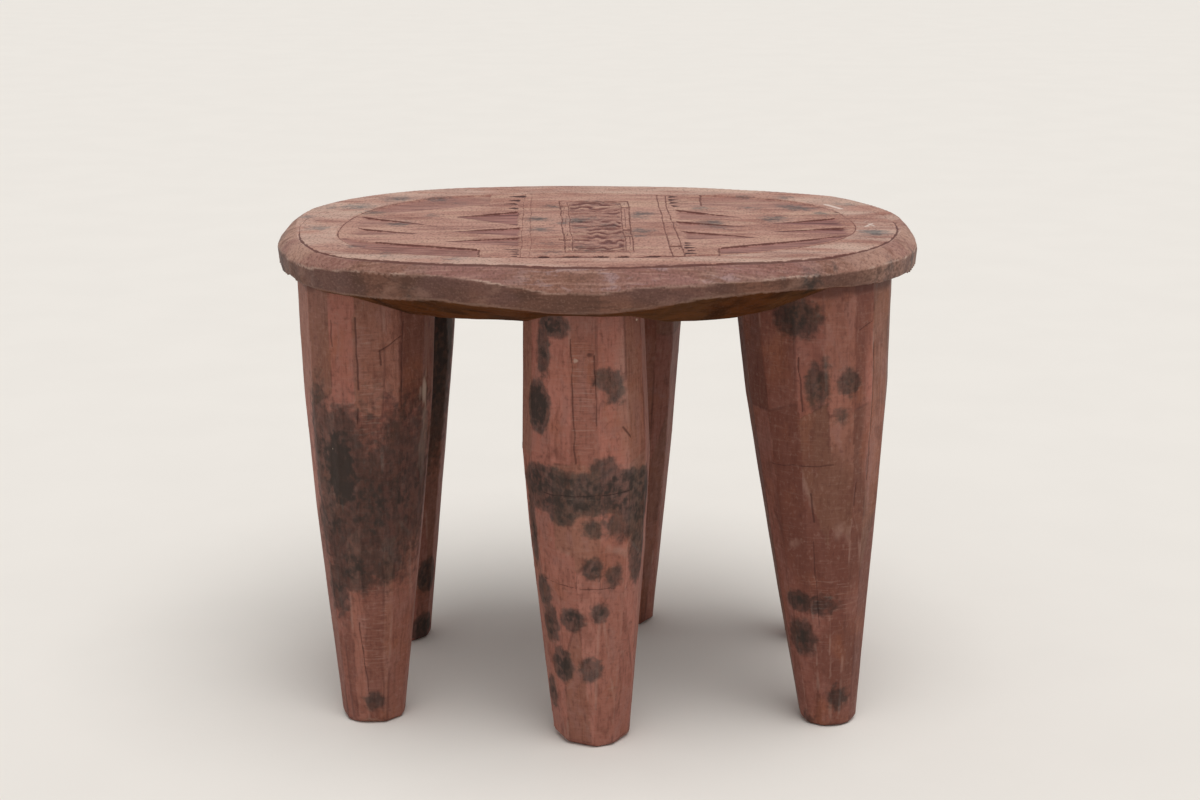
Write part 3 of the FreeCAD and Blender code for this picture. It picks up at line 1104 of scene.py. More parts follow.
    def read_flecks(self, points: np.ndarray) -> np.ndarray:
        """Find the small bare chips and dents.

        Args:
            points: Points on the leg.

        Returns:
            1 in a bare chip, -1 in a dark dent, 0 elsewhere.
        """
        pale = np.zeros(len(points))
        ragged = 0.45 * grain_noise(points * (1.0, 1.0, 0.3), 1.6, self.seed + 11)
        for fleck in self.flecks:
            reach = self.patch_reach(points, fleck) * (1.0 + ragged)
            share = fleck.pale * np.exp(-(reach**4))
            pale = np.where(np.abs(share) > np.abs(pale), share, pale)
        return pale

    def read_scorches(self, points: np.ndarray) -> np.ndarray:
        """Find the burnt patches, one of which is painted shade.

        Args:
            points: Points on the leg.

        Returns:
            How burnt each point is, painted shade included, from 0 to 1.
        """
        burn = np.zeros(len(points))
        for scorch in self.scorches:
            inside = 1.0 - self.patch_reach(points, scorch)
            inside *= min(scorch.across, scorch.tall) / scorch.edge
            burn = np.maximum(burn, scorch.soot * (0.5 + np.clip(inside, -1.0, 1.0) / 2))
        return burn

    def read_glazes(self, points: np.ndarray) -> np.ndarray:
        """Find how much lighter or darker each point is than its stroke.

        Args:
            points: Points on the leg.

        Returns:
            The shift in tone.
        """
        shift = np.zeros(len(points))
        for glaze in self.glazes:
            shift += glaze.shift * (1.0 - soft_step(self.patch_reach(points, glaze), 0.5, 1.3))
        return shift

    def read_chatter(self, points: np.ndarray) -> np.ndarray:
        """Find the strips where the blade skipped.

        Args:
            points: Points on the leg.

        Returns:
            1 inside a strip and 0 outside.
        """
        chatter = np.zeros(len(points))
        for strip in self.chatters:
            flat = self.spread_out(points, strip.turn)
            edge = strip.across / 2 - np.abs(flat[:, 0]) + 0.8 * grain_noise(points, 8.0, self.seed + 7)
            tall = np.minimum(flat[:, 1] - strip.low, strip.high - flat[:, 1])
            chatter = np.maximum(chatter, soft_step(edge, 0.0, 1.2) * soft_step(tall, 0.0, 8.0))
        return chatter

    def work_skin(self, leg: bpy.types.Object, cuts: list[Plane]) -> None:
        """Add the tool marks, cracks, scorch marks and painted shade to the leg's skin.

        Args:
            leg: The hewn leg.
            cuts: The adze strokes.
        """
        points = Workbench.points(leg)
        best, gap = self.read_facets(points, cuts)
        draw = np.random.default_rng(self.seed + 100)
        tones = self.bias + draw.uniform(-0.8, 0.8, len(cuts))
        hues = draw.uniform(0.0, 1.0, len(cuts)) ** 2
        crack, sink = self.read_splits(points)
        # Painted shade: the crack value rises near the leg's top, darkening it just under the seat's edge.
        seat_shade_height = points[:, 2] + 2.0 * grain_noise(points * (1.0, 1.0, 0.5), 7.0, self.seed + 9)
        crack = np.maximum(crack, 0.8 * soft_step(seat_shade_height, *self.seat_shade_height))
        chatter = self.read_chatter(points)
        burn = self.read_scorches(points)
        pale = self.read_flecks(points)
        phase = points[:, 2] * 2.0 * math.pi / self.ripple_pitch
        ripple = np.sin(phase + 2.5 * grain_noise(points, 12.0, self.seed + 8))
        sink += 0.12 * (1.0 + grain_noise(points * (1.0, 1.0, 0.45), 9.0, self.seed))
        sink += 0.05 * (1.0 + grain_noise(points * (1.0, 1.0, 0.3), 3.5, self.seed + 1))
        sink += chatter * (0.15 + 0.07 * ripple) + 0.35 * np.abs(pale)
        offset = points[:, :2] - self.middle(points[:, 2])
        out = offset / np.maximum(np.hypot(*offset.T), 1.0)[:, None]
        top = self.levels[-1]
        body = soft_step(points[:, 2], 1.0, 4.0) * soft_step(-points[:, 2], 1.0 - top, 3.0 - top)
        points[:, :2] -= out * (sink * body)[:, None]
        points[:, 2] = np.maximum(points[:, 2], 0.0)
        Workbench.place_points(leg, points)
        values = {
            Mark.TONE: tones[best] + self.read_glazes(points),
            Mark.HUE: hues[best],
            Mark.EDGE: np.minimum(gap, 8.0),
            Mark.CRACK: crack,
            Mark.CHATTER: chatter,
            Mark.BURN: burn,
            Mark.PALE: pale,
        }
        for mark, value in values.items():
            Workbench.store(leg, mark, value)

    def build(self, wood: bpy.types.Material) -> bpy.types.Object:
        """Make the leg, dress it and tie it to the frame.

        Args:
            wood: The leg finish.

        Returns:
            The finished leg.
        """
        cuts = self.strokes()
        leg = self.hew(cuts)
        self.work_skin(leg, cuts)
        Workbench.close_up()
        leg.data.materials.append(wood)
        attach(leg, "root")
        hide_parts(self.node)
        return leg


@dataclass(frozen=True)
class RimStation:
    """The rim's shape in one direction from the seat's middle.

    The direction counts in degrees from the right, anticlockwise. The other values are millimetres: how
    far the oval is cut back, how far in the groove and the field's line run, and the bevel and edge.
    """

    angle: float
    push: float
    groove: float
    field: float
    bevel_width: float
    bevel_drop: float
    thickness: float


@dataclass(frozen=True)
class Chip:
    """A three-sided cut with a steep back edge and a floor that rises to its front edge."""

    base_back: Point
    base_front: Point
    tip: Point
    depth: float
    shade: float = 1.0
    gash: float = 0.0
    ease: float = 0.6


@dataclass(frozen=True)
class Band:
    """A long cut between the field's line and a chord that ends square near the bars."""

    chord: tuple[Point, ...]
    depth: float
    shade: float
    run: float


@dataclass(frozen=True)
class Strip:
    """A narrow bar between two scored lines that run from the back to the front."""

    left: tuple[Point, ...]
    right: tuple[Point, ...]
    strength: float


@dataclass(frozen=True)
class Scratch:
    """A bare scratch (pale 1) or dark hole (pale -1) on the top."""

    start: Point
    end: Point
    width: float
    pale: float


@dataclass(frozen=True)
class Spot:
    """A scorched spot on the seat, by its middle and half size; two on the left end are painted shade."""

    x: float
    y: float
    size: float
    soot: float = 0.7
    fall: float = 0.0


@dataclass
class Carving:
    """What the knife leaves at each point of the top: depth, distances to lines and shares of finishes."""

    depth: np.ndarray
    groove: np.ndarray
    field: np.ndarray
    rule: np.ndarray
    wall: np.ndarray
    floor: np.ndarray
    dip: np.ndarray
    gash: np.ndarray

    def score(self, far: np.ndarray, width: float, deep: float | np.ndarray) -> None:
        """Cut a V-shaped line of a half width where a distance is zero."""
        self.depth = np.maximum(self.depth, deep * np.clip(1.0 - np.abs(far) / width, 0.0, 1.0))

    def hollow(
        self, steep: np.ndarray, front: np.ndarray, deep: float | np.ndarray, shade: float
    ) -> None:
        """Cut a floor that dips gently from its front edge to steep edges.

        Args:
            steep: How much of the floor is cut, from its steep edges inwards.
            front: Distance inside the front edge.
            deep: Greatest depth.
            shade: How dark the floor is painted, partly the wood's own red and partly painted shade.
        """
        dip = np.minimum(deep, 0.08 + 0.05 * np.maximum(front, 0.0)) * (front > 0)
        self.depth = np.maximum(self.depth, dip * steep)
        self.floor = np.maximum(self.floor, shade * steep * soft_step(front, -0.3, 1.2))

    def draw_edge(self, edge: np.ndarray, reach: np.ndarray) -> None:
        """Note a steep edge, where a dark line of painted shadow is drawn as far as it reaches."""
        edge = edge + np.copysign(4.0 * (1.0 - soft_step(reach, -0.4, 1.0)), edge)
        self.wall = np.where(np.abs(edge) < np.abs(self.wall), edge, self.wall)


@dataclass
class CarvedSeat:
    """The oval seat with its hand-cut rim and carved top."""

    node: str
    half_width: float
    half_depth: float
    top: float
    bottom: float
    stations: tuple[RimStation, ...]
    chips: tuple[Chip, ...]
    bands: tuple[Band, ...]
    strips: tuple[Strip, ...]
    border: tuple[Point, ...]
    panel: tuple[Point, ...]
    ticks: tuple[tuple[Point, Point], ...]
    nicks: tuple[Point, ...]
    spots: tuple[Spot, ...]
    scratches: tuple[Scratch, ...]
    shoulder: float = 6.0
    slope_width: float = 13.0
    undercut: float = 0.9
    lip: float = 1.8
    shelf: float = 30.0
    groove_depth: float = 1.3
    line_half: float = 0.8
    line_depth: float = 0.5
    line_squash: Point = (1.0, 0.36)
    ridge_pitch: float = 11.6
    fine_pitch: float = 6.3
    spot_edge: float = 7.0
    hidden_height: float = 11.0
    hidden_inset: float = 22.0
    hidden_share: float = 0.12
    skin: float = 1.6
    cut_step: float = 0.12
    groove_reach: float = 2.2
    cell: float = 1.55
    facets: int = 60
    stroke_range: Point = (0.65, 1.35)
    search_range: Point = (60.0, 190.0)
    search_rounds: int = 40
    seed: int = 7

    def oval_gap(self, points: np.ndarray) -> np.ndarray:
        """Measure how far each plan point lies inside the seat's drawn oval.

        Args:
            points: Plan points, one per row.

        Returns:
            The distance, positive inside.
        """
        end_radius = self.half_depth - self.shoulder
        end_middle = self.half_width - end_radius
        side_radius = end_middle**2 / (2 * self.shoulder) + (self.half_depth + end_radius) / 2
        drop = side_radius - self.half_depth
        x, y = np.abs(points[:, 0]), np.abs(points[:, 1])
        at_end = (x > end_middle) & (y * end_middle < (x - end_middle) * drop)
        end_gap = end_radius - np.hypot(x - end_middle, y)
        side_gap = side_radius - np.hypot(x, y + drop)
        return np.where(at_end, end_gap, side_gap)

    def station(self, angles: np.ndarray) -> np.ndarray:
        """Blend the rim's stations at given directions.

        Args:
            angles: Directions in degrees.

        Returns:
            Push, groove, field, bevel width, bevel drop and thickness, one row per direction.
        """
        rows = np.array(sorted(astuple(station) for station in self.stations))
        known, table = rows[:, 0], rows[:, 1:]
        known = np.concatenate((known[-1:] - 360.0, known, known[:1] + 360.0))
        table = np.concatenate((table[-1:], table, table[:1]))
        return np.column_stack([np.interp(angles % 360.0, known, column) for column in table.T])

    @staticmethod
    def angles(points: np.ndarray) -> np.ndarray:
        """Give each plan point's direction from the middle in degrees."""
        return np.degrees(np.arctan2(points[:, 1], points[:, 0]))

    def rim_gap(self, points: np.ndarray) -> np.ndarray:
        """Measure how far each plan point lies inside the rim as cut."""
        return self.oval_gap(points) + self.station(self.angles(points))[:, 0]

    def outline(self) -> tuple[np.ndarray, np.ndarray]:
        """Walk round the rim in uneven steps, as the adze went.

        Returns:
            The corners between strokes and the inward directions there, starting at the left end.
        """
        draw = np.random.default_rng(self.seed)
        steps = draw.uniform(*self.stroke_range, self.facets)
        angles = np.cumsum(steps) / steps.sum() * 2 * math.pi - math.pi
        rays = np.column_stack((np.cos(angles), np.sin(angles)))
        low, high = (np.full(self.facets, limit) for limit in self.search_range)
        for _ in range(self.search_rounds):
            guess = (low + high) / 2
            inside = self.rim_gap(rays * guess[:, None]) > 0
            low, high = np.where(inside, guess, low), np.where(inside, high, guess)
        corners = rays * low[:, None]
        step = 0.5
        slope_x = self.rim_gap(corners + (step, 0.0)) - self.rim_gap(corners - (step, 0.0))
        slope_y = self.rim_gap(corners + (0.0, step)) - self.rim_gap(corners - (0.0, step))
        inward = np.column_stack((slope_x, slope_y))
        inward /= np.hypot(*inward.T)[:, None]
        corners += inward * draw.uniform(0.0, 0.5, self.facets)[:, None]
        return corners, inward

    def rings(self) -> list[np.ndarray]:
        """Work out the rim's rings from the top down.

        Returns:
            One array of points per ring.
        """
        corners, inward = self.outline()
        draw = np.random.default_rng(self.seed + 1)
        _, _, _, width, drop, thick = self.station(self.angles(corners)).T
        thick = thick + draw.uniform(-0.5, 0.5, len(thick))
        drop = drop + draw.uniform(-0.4, 0.4, len(drop))
        slope = self.slope_width + draw.uniform(-1.5, 1.5, len(width))
        turns = np.abs(self.angles(corners))
        hang = toward(turns, 92.0, 31.0, 64.0) * (1.0 - 0.34 * toward(turns, 92.0, 9.0, 14.0))
        none = np.zeros(len(corners))
        flush = thick - self.lip
        full = none + (self.top - self.bottom)
        profile = (
            (width, none),
            (width * 0.45, drop * 0.36),
            (none, drop),
            (none + self.undercut, thick),
            (slope, flush + hang * (full - flush)),
            (slope + self.shelf, full),
        )
        rings = []
        for inset, fall in profile:
            rings.append(np.column_stack((corners + inward * inset[:, None], self.top - fall)))
        return rings

    def block_out(self) -> bpy.types.Object:
        """Draw the top as a disc and extrude it down, ring by ring, into the seat's block.

        Returns:
            The seat before carving.
        """
        Workbench.clear_selection()
        bpy.ops.mesh.primitive_circle_add(
            vertices=self.facets,
            radius=self.half_depth * MM,
            fill_type="NGON",
            location=(0.0, 0.0, self.top * MM),
        )
        seat = bpy.context.object
        seat.name = seat.data.name = "carved_seat"
        Workbench.settle()
        bpy.ops.object.mode_set(mode="EDIT")
        bpy.ops.mesh.select_all(action="SELECT")
        order = np.argsort(self.angles(self.outline()[0]))
        for number, ring in enumerate(self.rings()):
            if number:
                bpy.ops.mesh.extrude_region_move(TRANSFORM_OT_translate={"value": (0.0, 0.0, -MM)})
            mesh = bmesh.from_edit_mesh(seat.data)
            loop = sorted((v for v in mesh.verts if v.select), key=lambda v: math.atan2(v.co.y, v.co.x))
            for vertex, place in zip(loop, ring[order]):
                vertex.co = Vector(place * MM)
            bmesh.update_edit_mesh(seat.data)
        bpy.ops.mesh.select_all(action="SELECT")
        bpy.ops.mesh.normals_make_consistent(inside=False)
        bpy.ops.object.mode_set(mode="OBJECT")
        Workbench.remesh(seat, self.cell)
        return seat

    @staticmethod
    def line_strength(angles: np.ndarray) -> tuple[np.ndarray, np.ndarray]:
        """Tell how strongly the groove and the field's line are cut in each direction.

        Args:
            angles: Directions in degrees.

        Returns:
            The strength of the groove and that of the field's line.
        """
        groove = 0.22 + 0.78 * toward(angles, -78.0, 87.0, 96.0)
        groove *= 1.0 - 0.4 * toward(angles, -4.0, 26.0, 36.0)
        groove *= 1.0 - 0.4 * toward(angles, -162.0, 16.0, 30.0)
        field = 1.0 - 0.45 * toward(angles, 0.0, 12.0, 30.0)
        field += 1.3 * toward(angles, -89.0, 20.0, 28.0)
        field -= 0.6 * toward(angles, -142.0, 16.0, 26.0)
        field -= 0.55 * toward(angles, 94.0, 26.0, 34.0)
        return groove, field

    def carve(self, plan: np.ndarray) -> Carving:
        """Work out the carving over the top.

        Args:
            plan: Plan points, one per row.

        Returns:
            The carving at each point.
        """
        wander = np.column_stack((grain_noise(plan, 13.0, 31), grain_noise(plan, 13.0, 32)))
        fine = np.column_stack((grain_noise(plan, 4.0, 33), grain_noise(plan, 4.0, 34)))
        points = plan + 0.5 * wander + 0.22 * fine
        none = np.zeros(len(plan))
        outer, angles = self.rim_gap(plan + 0.4 * wander), self.angles(plan)
        columns = self.station(angles)
        strong, faint = self.line_strength(angles)
        work = Carving(
            depth=none,
            groove=(outer - columns[:, 1]) / strong,
            field=(outer - columns[:, 2]) / faint,
            rule=none + FAR,
            wall=none + FAR,
            floor=none,
            dip=none,
            gash=none,
        )
        self.cut_lines(work, points, strong, faint)
        jag = points + np.column_stack((1.1 * grain_noise(plan * (0.4, 1.0), 2.6, 35), none))
        for chip in self.chips:
            self.cut_chip(work, points, jag, chip)
        for band in self.bands:
            self.cut_band(work, points, band)
        self.cut_panel(work, plan, points)
        self.cut_nicks(work, plan, points, faint)
        return work

    def cut_lines(self, work: Carving, points: np.ndarray, strong: np.ndarray, faint: np.ndarray) -> None:
        """Cut the groove inside the rim, the field's line and the scored rules.

        Args:
            work: The carving so far.
            points: Plan points as the hand wandered.
            strong: How strongly the groove is cut at each point.
            faint: How strongly the field's line is cut at each point.
        """
        groove = work.groove * strong
        wall = np.clip(np.minimum((1.1 - groove) / 1.2, (groove + 2.6) / 2.5), 0.0, 1.0)
        work.depth = np.maximum(work.depth, self.groove_depth * strong * wall)
        work.score(work.field * faint, self.line_half, self.line_depth * np.minimum(faint, 1.0))
        flat = np.array(self.line_squash)
        rules = [-shape_depth(points * flat, np.array(self.border) * flat) / 0.9]
        rules += [-shape_depth(points * flat, np.array(self.panel) * flat) / 0.7]
        rules += [self.strip_gap(points, strip) / strip.strength for strip in self.strips]
        rules += [segment_gap(points * flat, *(np.array(tick) * flat)) - 0.2 for tick in self.ticks]
        for rule in rules:
            work.rule = np.where(np.abs(rule) < np.abs(work.rule), rule, work.rule)
        work.score(work.rule, self.line_half, self.line_depth)

    @staticmethod
    def cut_chip(work: Carving, points: np.ndarray, jag: np.ndarray, chip: Chip) -> None:
        """Cut one wedge or notch.

        Args:
            work: The carving so far.
            points: Plan points as the hand wandered.
            jag: The same points, shaken to and fro for the ragged base.
            chip: The wedge or notch.
        """
        centre = tuple(np.mean((chip.base_back, chip.base_front, chip.tip), axis=0))
        back = edge_depth(points, chip.base_back, chip.tip, centre)
        base = edge_depth(jag, chip.base_back, chip.base_front, centre)
        rise = edge_depth(points, chip.base_front, chip.tip, centre)
        length = edge_depth(np.array((chip.tip,)), chip.base_back, chip.base_front, centre)[0]
        deep = chip.depth * np.clip(1.3 - base / length, 0.3, 1.0)
        steep = soft_step(back, -0.2, 0.6) * soft_step(base, -0.2, chip.ease)
        work.hollow(steep, rise, deep, chip.shade)
        work.draw_edge(back, np.minimum(base, rise))
        inside = np.minimum.reduce((back, base, rise))
        work.gash = np.maximum(work.gash, chip.gash * soft_step(inside, -0.3, 0.5))

    def cut_nicks(self, work: Carving, plan: np.ndarray, points: np.ndarray, faint: np.ndarray) -> None:
        """Cut the row of small teeth along the front of the field.

        Args:
            work: The carving so far.
            plan: Plan points, one per row.
            points: The same points as the hand wandered.
            faint: How strongly the field's line is cut at each point.
        """
        for x, length in self.nicks:
            tooth = 3.2 * (1.0 - ((points[:, 0] - x) / length) ** 2)
            inside = np.where(plan[:, 1] < 0, tooth - np.abs(work.field * faint - 2.4), -FAR)
            work.hollow(soft_step(inside, -0.2, 0.6), inside + 20.0, 1.0, 1.0)
            work.gash = np.maximum(work.gash, soft_step(inside, -0.3, 0.4))

    @staticmethod
    def strip_gap(points: np.ndarray, strip: Strip) -> np.ndarray:
        """Measure how far each plan point lies outside a narrow bar.

        Args:
            points: Plan points, one per row.
            strip: The bar.

        Returns:
            The distance, negative inside.
        """
        sides = []
        for line, way in ((strip.left, 1.0), (strip.right, -1.0)):
            x, y = np.array(sorted(line, key=lambda p: p[1])).T
            sides.append((points[:, 0] - np.interp(points[:, 1], y, x)) * way)
        heights = [p[1] for p in strip.left]
        ends = [points[:, 1] - min(heights), max(heights) - points[:, 1]]
        return -np.minimum.reduce(sides + ends)

    @staticmethod
    def cut_band(work: Carving, points: np.ndarray, band: Band) -> None:
        """Cut one long band beside the field's line.

        Args:
            work: The carving so far.
            points: Plan points, one per row.
            band: The band.
        """
        x, y = np.array(sorted(band.chord)).T
        way = math.copysign(1.0, y.mean())
        slope = np.polyfit(x, y, 1)[0]
        chord = (points[:, 1] - np.interp(points[:, 0], x, y)) * way / math.hypot(1.0, slope)
        inner = min(band.chord, key=lambda p: abs(p[0]))[0]
        square = (points[:, 0] - inner) * math.copysign(1.0, inner)
        border = np.where(points[:, 1] * way > 0, work.field - 1.2, -5.0)
        back, front = (border, chord) if way > 0 else (chord, border)
        work.hollow(soft_step(np.minimum(back, square), -0.2, 0.6), front, band.depth, band.shade)
        run = band.run - np.abs(points[:, 0] - inner)
        work.draw_edge(back, np.minimum.reduce((square, front, run)))

    def cut_panel(self, work: Carving, plan: np.ndarray, points: np.ndarray) -> None:
        """Cut the wavy ridges in the middle panel.

        Args:
            work: The carving so far.
            plan: Plan points, one per row.
            points: The same points as the hand wandered.
        """
        mask = soft_step(shape_depth(points, self.panel), -0.1, 1.4)
        wave = points[:, 1] + 7.0 * grain_noise(plan * (1.0, 0.35), 8.0, 41)
        wave += 3.6 * grain_noise(plan * (1.0, 0.5), 3.0, 42)
        rough = 0.5 + 0.5 * grain_noise(plan * (0.5, 1.0), 4.0, 43)
        broken = soft_step(grain_noise(plan * (0.5, 0.4), 5.0, 44), -0.45, 0.25)
        phase = (wave / self.ridge_pitch) % 1.0
        dip = 1.0 - soft_step(np.abs(phase - 0.5), 0.06, 0.30)
        dark = 1.0 - soft_step(np.abs(phase - 0.62), 0.07, 0.22)
        fine_phase = ((wave + 5.0 * rough) / self.fine_pitch) % 1.0
        finer = (1.0 - soft_step(np.abs(fine_phase - 0.5), 0.05, 0.22)) * rough
        depth = 0.15 + 0.7 * dip * (0.4 + 0.6 * broken) + 0.25 * finer
        work.depth = np.maximum(work.depth, mask * depth)
        work.floor = np.maximum(work.floor, mask * 0.12)
        # The dark share in the ripples: dark stain in the hollows, partly painted shade.
        work.dip = np.maximum(work.dip, mask * np.maximum(dark * (0.25 + 0.75 * broken), 0.8 * finer))

    def refine(self, seat: bpy.types.Object) -> None:
        """Divide the top's faces finely where a cut runs through them.

        Args:
            seat: The seat's block.
        """
        middles = Workbench.face_middles(seat)
        hidden = middles[:, 2] < self.bottom + self.hidden_height
        hidden &= self.rim_gap(middles[:, :2]) > self.hidden_inset
        Workbench.thin_out(seat, hidden, self.hidden_share)
        middles = Workbench.face_middles(seat)
        rows = np.flatnonzero(middles[:, 2] > self.top - self.skin)
        reach = self.cell * 0.7
        turns = np.linspace(0, 2 * math.pi, 6, endpoint=False)
        shifts = [(0.0, 0.0)] + [(reach * math.cos(a), reach * math.sin(a)) for a in turns]
        samples = np.stack([self.carve(middles[rows, :2] + shift).depth for shift in shifts])
        wanted = np.zeros(len(middles), dtype=bool)
        wanted[rows] = samples.max(axis=0) - samples.min(axis=0) > self.cut_step
        Workbench.divide(seat, wanted)
        middles = Workbench.face_middles(seat)
        near = np.abs(self.carve(middles[:, :2]).groove + 0.4) < self.groove_reach
        Workbench.divide(seat, near & (middles[:, 2] > self.top - self.skin))

    def read_spots(self, plan: np.ndarray, fall: np.ndarray) -> np.ndarray:
        """Find the scorched spots, two of which are painted shade.

        Args:
            plan: Plan points, one per row.
            fall: How far below the top each point lies.

        Returns:
            How burnt each point is, painted shade included, from 0 to 1.
        """
        places = np.column_stack((plan, fall))
        burn = np.zeros(len(plan))
        for spot in self.spots:
            inside = spot.size - np.linalg.norm(places - (spot.x, spot.y, spot.fall), axis=1)
            share = 0.5 + np.clip(inside / self.spot_edge, -1.0, 1.0) / 2
            burn = np.maximum(burn, spot.soot * share)
        return burn

    def read_scratches(self, plan: np.ndarray, on_top: np.ndarray) -> np.ndarray:
        """Find the bare scratches and dark holes of the top.

        Args:
            plan: Plan points, one per row.
            on_top: 1 on the top and 0 elsewhere.

        Returns:
            1 in a bare scratch, -1 in a dark hole, 0 elsewhere.
        """
        pale = np.zeros(len(plan))
        for scratch in self.scratches:
            far = segment_gap(plan, scratch.start, scratch.end)
            share = scratch.pale * np.exp(-((far / scratch.width) ** 2)) * on_top
            pale = np.where(np.abs(share) > np.abs(pale), share, pale)
        return pale

    def work_skin(self, seat: bpy.types.Object) -> None:
        """Cut the carving and tool marks and note where each finish shows.

        Args:
            seat: The refined block.
        """
        points = Workbench.points(seat)
        plan = points[:, :2].copy()
        work = self.carve(plan)
        gap, angles = self.rim_gap(plan), self.angles(plan)
        _, _, _, width, drop, thick = self.station(angles).T
        crisp = self.top - np.maximum(width - gap, 0.0) * 0.65 * drop / width
        share = soft_step(gap - width, -3.0, -1.0) * (points[:, 2] > self.top - 3.0)
        points[:, 2] += share * (crisp - points[:, 2])
        fall = self.top - points[:, 2]
        ragged = 0.5 * grain_noise(points * (0.4, 0.4, 1.0), 4.0, 54)
        on_top = soft_step(points[:, 2], self.top - 1.2, self.top - 0.3)
        under = soft_step(fall - thick + ragged, -1.0, 0.2)
        side = soft_step(fall - drop + ragged, -0.4, 0.5) * (1.0 - under)
        bevel = soft_step(width - gap + 0.3 * ragged, -0.4, 0.4) * (1.0 - side) * (1.0 - under)
        strokes = np.sort(self.angles(self.outline()[0]))
        tones = np.random.default_rng(self.seed + 3).uniform(-1.0, 1.0, (2, len(strokes) + 1))
        stroke = np.searchsorted(strokes, angles)
        tone = np.where(side > 0.5, tones[0][stroke], tones[1][stroke])
        uneven = 0.16 * (1.0 + grain_noise(points * (0.5, 1.0, 1.0), 16.0, 51))
        scoop = 0.25 * (1.0 + grain_noise(points, 19.0, 52)) * (side + bevel)
        chop = 0.7 * (1.0 + grain_noise(points * (0.6, 1.0, 1.0), 17.0, 53)) * under
        points[:, 2] -= on_top * (work.depth + uneven)
        reach = np.maximum(np.hypot(*plan.T), 1.0)
        points[:, :2] -= plan / reach[:, None] * scoop[:, None]
        points[:, 2] += chop * soft_step(gap, 4.0, 12.0)
        points[:, 2] = np.minimum(points[:, 2], self.top)
        Workbench.place_points(seat, points)
        pale = self.read_scratches(plan, on_top)
        pale = np.where(work.gash > np.abs(pale), -work.gash * on_top, pale)
        away = FAR * (1.0 - soft_step(fall, 2.0, 1.0))
        lines = {
            # The groove's line is moved onto its back wall, where its painted shadow is drawn.
            Mark.GROOVE: work.groove - 0.4,
            Mark.FIELD: work.field,
            Mark.RULE: work.rule,
            Mark.WALL: work.wall,
        }
        values = {mark: far + np.copysign(away, far) for mark, far in lines.items()}
        values |= {
            Mark.FLOOR: work.floor * on_top,
            Mark.DIP: work.dip * on_top,
            Mark.BEVEL: bevel,
            Mark.SIDE: side,
            Mark.UNDER: under,
            Mark.TONE: tone,
            Mark.EDGE: np.abs(plan[:, 0]),
            Mark.HUE: toward(angles, -10.0, 12.0, 34.0),
            Mark.DUST: toward(angles, -80.0, 10.0, 38.0),
            Mark.BURN: self.read_spots(plan, fall),
            Mark.PALE: pale,
        }
        for mark, value in values.items():
            Workbench.store(seat, mark, value)

    def build(self, wood: bpy.types.Material) -> bpy.types.Object:
        """Make the seat, dress it and tie it to the frame.

        Args:
            wood: The seat finish.

        Returns:
            The finished seat.
        """
        seat = self.block_out()
        self.refine(seat)
        self.work_skin(seat)
        Workbench.close_up()
        seat.data.materials.append(wood)
        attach(seat, "root")
        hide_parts(self.node)
        return seat


FRONT_LEFT = HewnLeg(
    node="leg_front_left",
    head=(-120.3, -51.0),
    foot=(-122.2, -60.0),
    radii=(17.0, 21.9, 27.9, 33.2, 35.8),
    strips=(
        -66.0, -38.6, -14.5, 7.3, 27.7, 49.5, 73.0, 98.0,
        124.0, 148.0, 174.0, 200.0, 226.0, 250.0, 272.0,
    ),
    low_strips=(-75.0, -34.0, 8.0, 52.0, 92.0, 130.0, 170.0, 212.0, 250.0),
    seed=11,
    bias=0.2,
    scorches=(
        Scorch(0, 150, 34, 42, 0.40, 22),
        Scorch(-24, 147, 12, 27, 1.24, 9),
        Scorch(-46, 155, 7, 28, 0.98, 8),
        Scorch(-35, 118, 14, 26, 0.78, 10),
        Scorch(8, 126, 22, 34, 0.82, 16),
        Scorch(38, 134, 16, 41, 0.86, 14),
        Scorch(62, 138, 12, 40, 0.82, 12),
        Scorch(-16, 92, 12, 14, 0.86, 7),
        Scorch(-40, 80, 7, 16, 0.8, 6),
        Scorch(22, 96, 14, 14, 0.7, 10),
        Scorch(6, 14, 6.0, 5.5, 0.62),
        Scorch(24, 181, 4, 12, 0.40, 5),
        Scorch(-54, 168, 5, 14, 0.5, 7),
        Scorch(165, 130, 20, 26, 0.7),
        Scorch(-130, 95, 10, 12, 0.7),
    ),
    splits=(
        Split(-3.5, 228, -2.5, 190, 0.6, 0.6),
        Split(-3.0, 180, -4.5, 172, 0.6, 0.5),
        Split(37.7, 224, 37.0, 178, 0.5, 0.4),
        Split(17.0, 210, 36.0, 217, 0.6, 0.5),
        Split(17.5, 210, 17.0, 203, 0.6, 0.5),
        Split(-26.0, 226, -25.0, 212, 0.45, 0.3),
        Split(-12.0, 60, -2.0, 18, 0.5, 0.3),
    ),
    chatters=(Chatter(7.3, 12.0, 158, 226), Chatter(8.0, 15.0, 28, 84)),
    flecks=(
        Fleck(-31, 157, 0.5, 0.5, 0.5),
        # A pale strip down the leg's right edge, drawn as bare chips.
        Fleck(67, 184, 3.8, 9.0, 0.56),
        Fleck(68, 168, 3.0, 13.0, 0.42),
        Fleck(70, 193, 0.9, 4.0, 0.5),
        Fleck(71, 156, 7.5, 28.0, 0.38),
    ),
    glazes=(Glaze(-26, 205, 14, 36, -0.25), Glaze(10, 200, 10, 30, 0.35), Glaze(49, 205, 9, 34, -0.3)),
)

